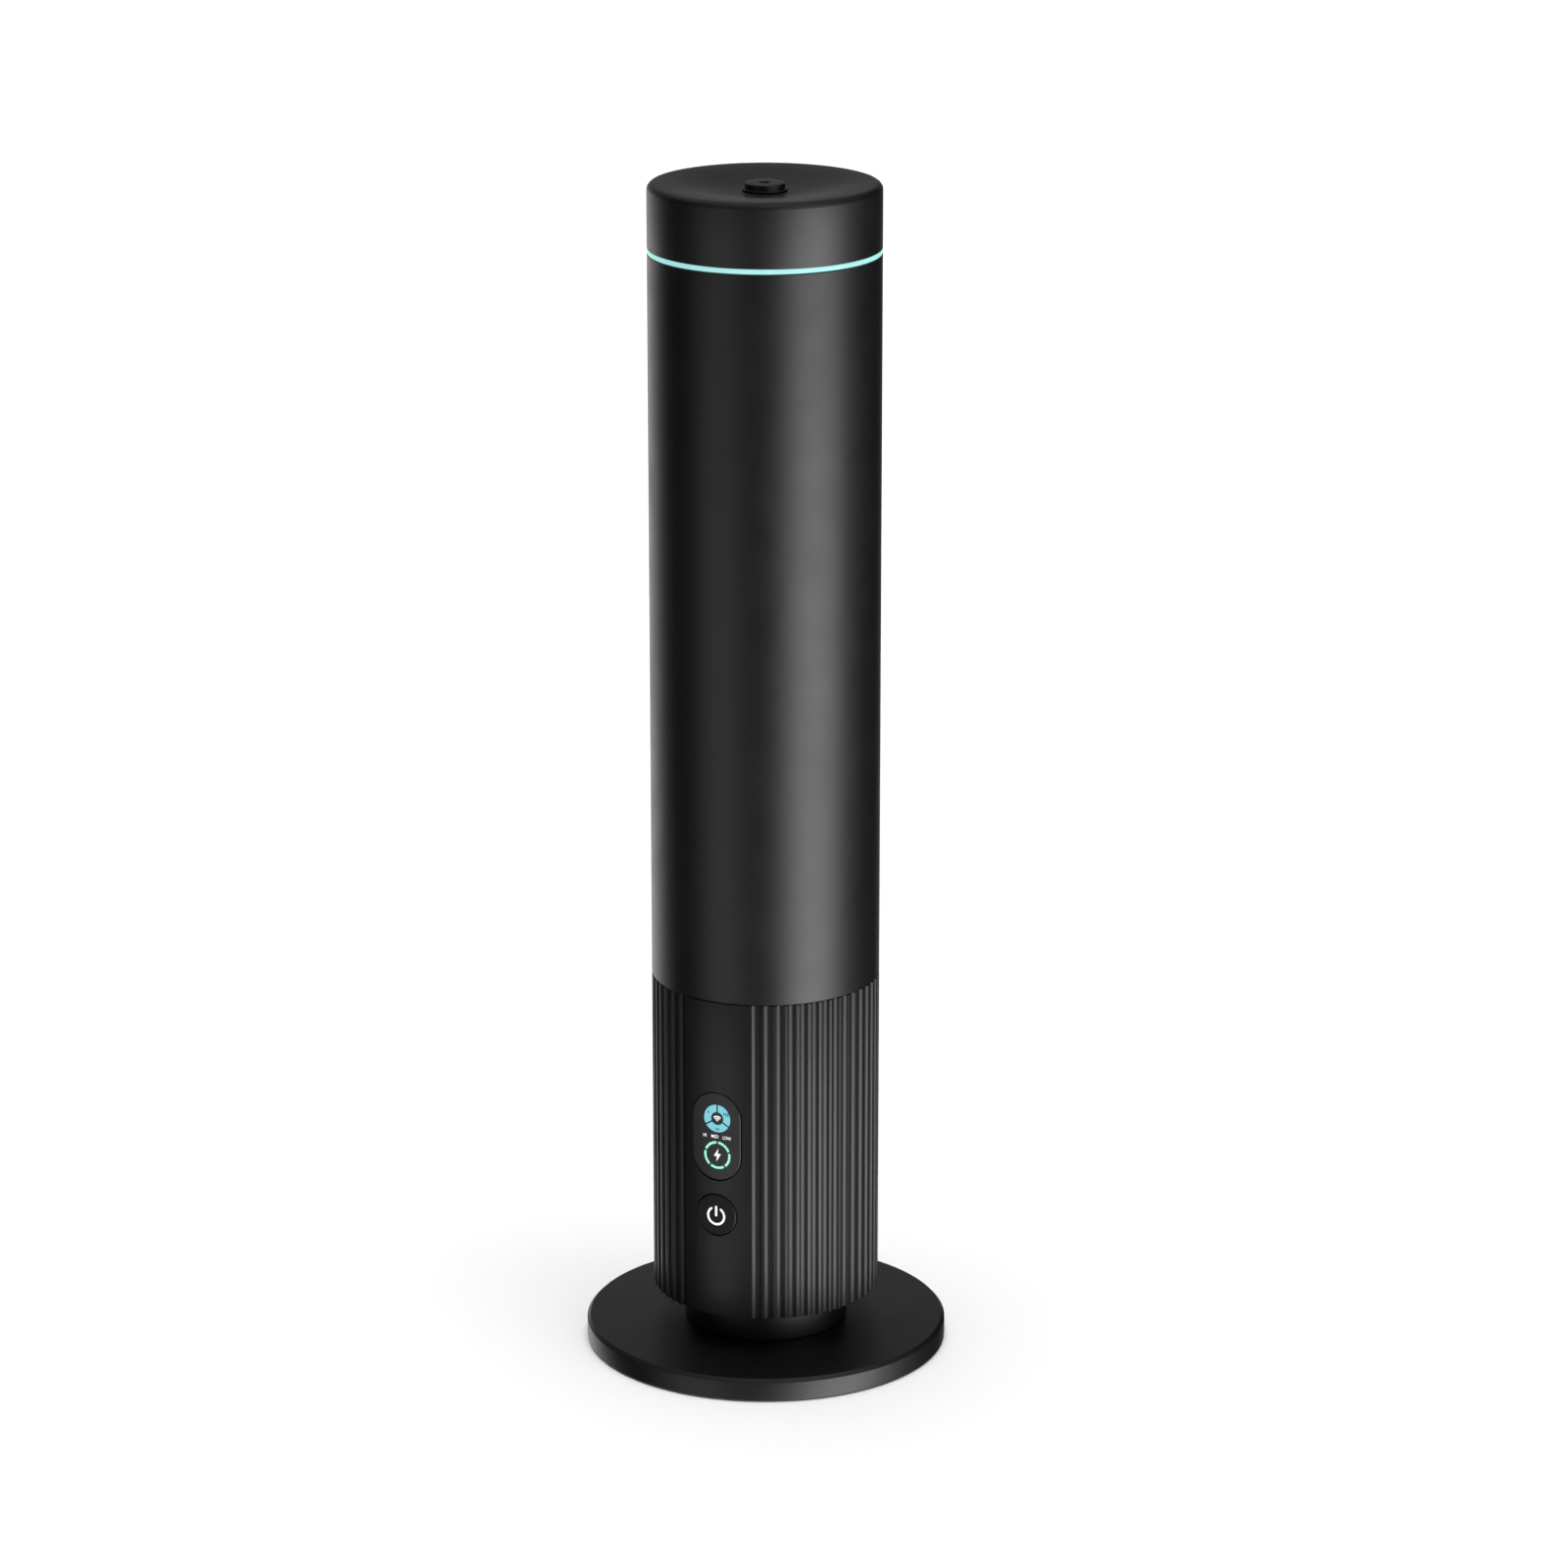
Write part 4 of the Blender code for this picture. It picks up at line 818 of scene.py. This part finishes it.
def tube():
    low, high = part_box("upper_tube")
    part("upper_tube", turned([
        (high.x, high.z, EDGE), (high.x, low.z, EDGE), (high.x - TUBE_WALL, low.z, EDGE),
        (high.x - TUBE_WALL, high.z, EDGE),
    ], 256), "tower", "anodised_black")
    low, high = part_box("top_frame")
    part("top_frame", turned([
        (high.x, high.z, 0.15 * MM), (high.x, low.z, EDGE), (TOP_FRAME_R, low.z, EDGE),
        (TOP_FRAME_R, high.z, 0.8 * MM),
    ]), "tower", "inner_black")


def light_ring():
    low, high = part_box("led_ring")
    top = high.z - LIGHT_DROP
    part("led_ring", turned([
        (high.x, top, 0.2 * MM), (high.x, low.z, 0.2 * MM), (LIGHT_BORE, low.z, 0.1 * MM),
        (LIGHT_BORE, top, 0.1 * MM),
    ], 256), "tower", "light_cyan")


# ---- Bottle and atomizer head ------------------------------------------------------------

BOTTLE_WALL = 2.6 * MM
BOTTLE_FLOOR = 3.5 * MM
BOTTLE_NECK_R = 14 * MM
BOTTLE_NECK_L = 15 * MM
SHOULDER_DROP = 32 * MM       # where the shoulder starts to turn in, below the neck's top
SHOULDER_R = 20 * MM          # where the shoulder's slope ends
COLLAR_BORE = 14.4 * MM
COLLAR_FLUTES = 48
FLUTE_DEPTH = 0.35 * MM
TUBE_BORE_R = 1.1 * MM
TUBE_R = 2.2 * MM
ATOMIZER_R = 19 * MM
CHAMBER_R = 16 * MM
CHAMBER_DEPTH = 24 * MM
GRIP_START = 3 * MM
GRIP_PITCH = 2.4 * MM
GRIP_DEPTH = 0.5 * MM
ATOMIZER_FOOT = 27.7 * MM     # the body's wide part ends this far below its top
PLUG_R = 10.8 * MM            # the plug that enters the bottle's neck
GASKET_BORE = 14.5 * MM
LID_T = 3.4 * MM
CHIMNEY_R = 5.5 * MM
CHIMNEY_BORE = 3.8 * MM
ARM_ROOT = 18.5 * MM
ARM_W = 7 * MM
ARM_H = 8 * MM
ARM_DROP = 8.5 * MM           # the arm's middle below the body's top


def bottle():
    low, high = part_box("oil_bottle")
    outer = high.x
    inner = outer - BOTTLE_WALL
    neck_in = BOTTLE_NECK_R - BOTTLE_WALL
    floor = low.z + BOTTLE_FLOOR
    shoulder = high.z - SHOULDER_DROP
    neck_foot = high.z - BOTTLE_NECK_L
    part("oil_bottle", turned([
        (0, floor, 0), (inner, floor, 2 * MM), (inner, shoulder - MM, 6 * MM),
        (SHOULDER_R - MM, neck_foot - 5.5 * MM, 4 * MM), (neck_in, neck_foot - 2.5 * MM, 1.5 * MM),
        (neck_in, high.z, EDGE), (BOTTLE_NECK_R, high.z, EDGE),
        (BOTTLE_NECK_R, neck_foot, 1.5 * MM), (SHOULDER_R, neck_foot - 2.4 * MM, 4 * MM),
        (outer, shoulder + MM, 8 * MM), (outer, low.z, 2 * MM), (0, low.z, 0),
    ], 128, closed=False), "bottle", "amber_glass")


def collar_radius(outer):
    """A grip of fine flutes round the screw collar."""
    def radius(angle):
        return outer - FLUTE_DEPTH * (0.5 - 0.5 * math.cos(COLLAR_FLUTES * angle))
    return radius


def atomizer():
    low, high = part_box("bottle_collar")
    bevel = 0.4 * MM
    levels = [(bevel, low.z), (0, low.z + bevel), (0, high.z - bevel), (bevel, high.z)]
    part("bottle_collar", fluted(COLLAR_BORE, levels, collar_radius(high.x), COLLAR_FLUTES * 8),
         "atomizer_head", "inner_black")
    low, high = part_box("dip_tube")
    part("dip_tube", turned([
        (TUBE_R, high.z, 0), (TUBE_R, low.z, 0.1 * MM), (TUBE_BORE_R, low.z, 0.1 * MM),
        (TUBE_BORE_R, high.z, 0),
    ], 32), "atomizer_head", "silicone")
    low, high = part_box("atomizer_lid")
    lid_top = low.z + LID_T
    part("atomizer_lid", turned([
        (CHIMNEY_R, high.z, 0.4 * MM), (CHIMNEY_R, lid_top, 1.6 * MM), (ATOMIZER_R, lid_top, MM),
        (ATOMIZER_R, low.z, EDGE), (CHIMNEY_BORE, low.z, EDGE), (CHIMNEY_BORE, high.z, EDGE),
    ], 128), "atomizer_head", "inner_black")
    low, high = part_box("atomizer_gasket")
    part("atomizer_gasket", turned([
        (high.x, high.z, EDGE), (high.x, low.z, EDGE), (GASKET_BORE, low.z, EDGE),
        (GASKET_BORE, high.z, EDGE),
    ], 128), "atomizer_head", "silicone")
    atomizer_body()


def atomizer_body():
    """The spray chamber, with grip grooves round it and the arm that takes the air."""
    low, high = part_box("atomizer_body")
    foot = high.z - ATOMIZER_FOOT
    floor = high.z - CHAMBER_DEPTH
    groove_r = ATOMIZER_R - GRIP_DEPTH
    grooves = []
    for i in range(4):
        z = high.z - GRIP_START - GRIP_PITCH * i
        grooves += [(ATOMIZER_R, z, 0.15 * MM), (groove_r, z - 0.3 * MM, 0.15 * MM),
                    (groove_r, z - 0.9 * MM, 0.15 * MM), (ATOMIZER_R, z - 1.2 * MM, 0.15 * MM)]
    body = turned([
        (0, floor, 0), (CHAMBER_R, floor, EDGE), (CHAMBER_R, high.z, EDGE),
        (ATOMIZER_R, high.z, EDGE),
    ] + grooves + [
        (ATOMIZER_R, foot, 0.6 * MM), (PLUG_R, foot, EDGE), (PLUG_R, low.z, EDGE), (0, low.z, 0),
    ], 128, closed=False)
    part("atomizer_body", body, "atomizer_head", "inner_black")
    air_arm(high.x, high.z - ARM_DROP)


def air_arm(end, middle):
    """The oval arm, made towards -Y and turned to +X."""
    def outline(inset):
        points = []
        for i in range(48):
            angle = math.tau * i / 48
            points.append(((ARM_W / 2 - inset) * math.sin(angle),
                           middle + (ARM_H / 2 - inset) * math.cos(angle)))
        return points
    mesh = slab(outline, [(0, -ARM_ROOT), (0, -end + 1.5 * MM), (0.4 * MM, -end + 0.4 * MM),
                          (1.2 * MM, -end)])
    mesh.transform(Euler((0, 0, math.radians(90))).to_matrix().to_4x4())
    piece("air_arm", mesh, MATERIALS["inner_black"], "atomizer_head")


# ---- Cap and nozzle ----------------------------------------------------------------------

CAP_WALL = 3 * MM
CAP_FILLET = 2.8 * MM
CAP_HOLE = 6.4 * MM
CAP_DROP = 0.5 * MM           # the cap's lower edge below its CAD node's
DISH_DEPTH = 3.4 * MM         # how far the cap's dished top drops from its rim to the nozzle
DISH_R = 47 * MM
DISH_FLAT_R = 9 * MM
DISH_STEPS = 24
ROOF_T = 3.8 * MM             # the cap's roof below its rim
ROOF_R = (24 * MM, 33.5 * MM)     # where the roof's inside slopes down to the dish
INSERT_R = (34 * MM, 40.4 * MM, 42.8 * MM)      # the insert's bore, and its skirt
INSERT_FLANGE = 2.8 * MM
NOZZLE_BORE = 2.2 * MM
NOZZLE_STEM_R = 6.1 * MM
KNOB_R = 8.6 * MM
LIP_R = 9.7 * MM
LIP_GAP = 0.3 * MM
LIP_T = 0.6 * MM
SEAL_BORE = 3.9 * MM


def cap():
    low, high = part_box("top_cap")
    outer = high.x
    roof = high.z - ROOF_T
    hole_z = high.z - DISH_DEPTH
    foot = low.z - CAP_DROP
    dish = [(CAP_HOLE, hole_z, 0)]
    for step in range(DISH_STEPS + 1):
        share = step / DISH_STEPS
        drop = DISH_DEPTH * (1 + math.cos(math.pi * share)) / 2
        dish.append((DISH_FLAT_R + (DISH_R - DISH_FLAT_R) * share, high.z - drop, 0))
    part("top_cap", turned(dish + [
        (outer, high.z, CAP_FILLET), (outer, foot, 0.2 * MM), (outer - CAP_WALL, foot, EDGE),
        (outer - CAP_WALL, roof, MM), (ROOF_R[1], roof, EDGE),
        (ROOF_R[0], hole_z - CAP_WALL, EDGE), (CAP_HOLE, hole_z - CAP_WALL, EDGE),
    ], 256), "cap_unit", "satin_black")
    low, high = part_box("cap_insert")
    flange = high.z - INSERT_FLANGE
    bore, skirt_in, skirt_out = INSERT_R
    part("cap_insert", turned([
        (high.x, high.z, EDGE), (high.x, flange, EDGE), (skirt_out, flange, EDGE),
        (skirt_out, low.z, 0.8 * MM), (skirt_in, low.z, 0.8 * MM), (skirt_in, flange, EDGE),
        (bore, flange, EDGE), (bore, high.z, EDGE),
    ]), "cap_unit", "inner_black")


def nozzle():
    low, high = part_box("nozzle")
    lip_z0 = high.z - DISH_DEPTH + LIP_GAP
    lip_z1 = lip_z0 + LIP_T
    part("nozzle", turned([
        (NOZZLE_BORE, high.z, 0.35 * MM), (KNOB_R, high.z, 0.3 * MM), (KNOB_R, lip_z1, 0.15 * MM),
        (LIP_R, lip_z1, 0.2 * MM), (LIP_R, lip_z0, 0.15 * MM), (NOZZLE_STEM_R, lip_z0, 0.1 * MM),
        (NOZZLE_STEM_R, low.z, EDGE), (NOZZLE_BORE, low.z, EDGE),
    ], 128), "cap_unit", "satin_black")
    low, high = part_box("nozzle_seal")
    part("nozzle_seal", turned([
        (NOZZLE_STEM_R, high.z, EDGE), (NOZZLE_STEM_R, low.z, EDGE), (SEAL_BORE, low.z, EDGE),
        (SEAL_BORE, high.z, EDGE),
    ], SMALL_SIDES), "cap_unit", "silicone")


base()
neck()
bottom_cap()
housing()
window()
button()
charge_port()
tube()
light_ring()
bottle()
atomizer()
cap()
nozzle()

# ---- Camera, light and floor -------------------------------------------------------------

VIEW_AZIMUTH = 25.7           # degrees from -Y towards +X
VIEW_DISTANCE = 2.2524        # from the tower's axis, on the level
VIEW_HEIGHT = 0.9324
VIEW_PITCH = 16.698           # degrees below the level
VIEW_YAW = 0.206              # degrees to the right of the axis
VIEW_LENS = 124.0


def camera():
    data = bpy.data.cameras.new("camera")
    data.lens = VIEW_LENS
    data.sensor_width = 36.0
    data.clip_start = 0.05
    data.clip_end = 60.0
    obj = bpy.data.objects.new("camera", data)
    bpy.context.scene.collection.objects.link(obj)
    turn = math.radians(VIEW_AZIMUTH)
    obj.location = (VIEW_DISTANCE * math.sin(turn), -VIEW_DISTANCE * math.cos(turn), VIEW_HEIGHT)
    obj.rotation_euler = (math.radians(90 - VIEW_PITCH), 0, math.radians(VIEW_AZIMUTH - VIEW_YAW))
    bpy.context.scene.camera = obj


def strip(tree, azimuth, centre, half_width, fade, strength):
    """A tall soft light at a compass direction, in degrees from -Y towards +X."""
    offset = tree.math("SUBTRACT", azimuth, math.radians(centre))
    wrapped = tree.math("WRAP", offset, math.pi, -math.pi)
    away = tree.math("ABSOLUTE", wrapped)
    return tree.spread(away, strength, 0.0, math.radians(half_width),
                       math.radians(half_width + fade), "SMOOTHSTEP")


STRIPS = (                    # direction, half width and fade in degrees, strength
    (74, 6, 34, 5.4),         # key light on the right
    (104, 4, 26, 0.4),        # its soft far edge
    (-20, 5, 28, 0.92),       # weak fill on the left
    (-136, 16, 30, 1.4),      # rim light behind on the left
)
AMBIENT = 0.012
ABOVE = 0.13                  # share of the strips' light that is left above the horizon
CEILING = 0.35                # soft light from straight above
SUN = 2.85
SUN_WIDTH = 50                # degrees
FLOOR_R = 14.0


def studio():
    """Tall soft lights round the object, in front of a plain white background."""
    world = bpy.data.worlds.new("studio")
    bpy.context.scene.world = world
    tree = Tree(world)
    background = tree.nodes["Background"]
    direction = tree.add("ShaderNodeTexCoord").outputs["Generated"]
    axes = tree.add("ShaderNodeSeparateXYZ", {"Vector": direction})
    azimuth = tree.math("ARCTAN2", axes.outputs["X"], tree.math("MULTIPLY", axes.outputs["Y"], -1.0))
    level = AMBIENT
    for values in STRIPS:
        level = tree.math("ADD", strip(tree, azimuth, *values), level)
    left_above = tree.spread(axes.outputs["Z"], 1.0, ABOVE, -0.12, 0.22, "SMOOTHSTEP")
    ceiling = tree.spread(axes.outputs["Z"], 0.0, CEILING, 0.45, 0.85, "SMOOTHSTEP")
    lighting = tree.math("MULTIPLY_ADD", level, left_above, ceiling)
    seen = tree.add("ShaderNodeLightPath").outputs["Is Camera Ray"]
    tree.links.new(tree.spread(seen, lighting, 1.0, 0.0, 1.0), background.inputs["Strength"])
    background.inputs["Color"].default_value = (1, 1, 1, 1)


def sun():
    """Soft daylight from straight above, which the glossy pieces don't mirror."""
    data = bpy.data.lights.new("overhead", "SUN")
    data.energy = SUN
    data.angle = math.radians(SUN_WIDTH)
    overhead = bpy.data.objects.new("overhead", data)
    overhead.visible_glossy = False
    bpy.context.scene.collection.objects.link(overhead)


def floor():
    material = bpy.data.materials.new("floor")
    tree = Tree(material)
    shader = tree.nodes["Principled BSDF"]
    where = tree.add("ShaderNodeTexCoord").outputs["Object"]
    shade = tree.tint(tree.noise(0.4, 2.0, where), (0.88, 0.88, 0.88), (0.90, 0.90, 0.90))
    tree.links.new(shade, shader.inputs["Base Color"])
    shader.inputs["Roughness"].default_value = 0.9
    shader.inputs["Specular IOR Level"].default_value = 0.1
    mesh = bpy.data.meshes.new("floor")
    work = bmesh.new()
    bmesh.ops.create_circle(work, cap_ends=True, radius=FLOOR_R, segments=96)
    work.to_mesh(mesh)
    work.free()
    mesh.materials.append(material)
    ground = bpy.data.objects.new("floor", mesh)
    bpy.context.scene.collection.objects.link(ground)
    ground.visible_glossy = False
    ground.visible_shadow = False


camera()
studio()
sun()
floor()
bpy.context.scene.view_settings.view_transform = "Standard"
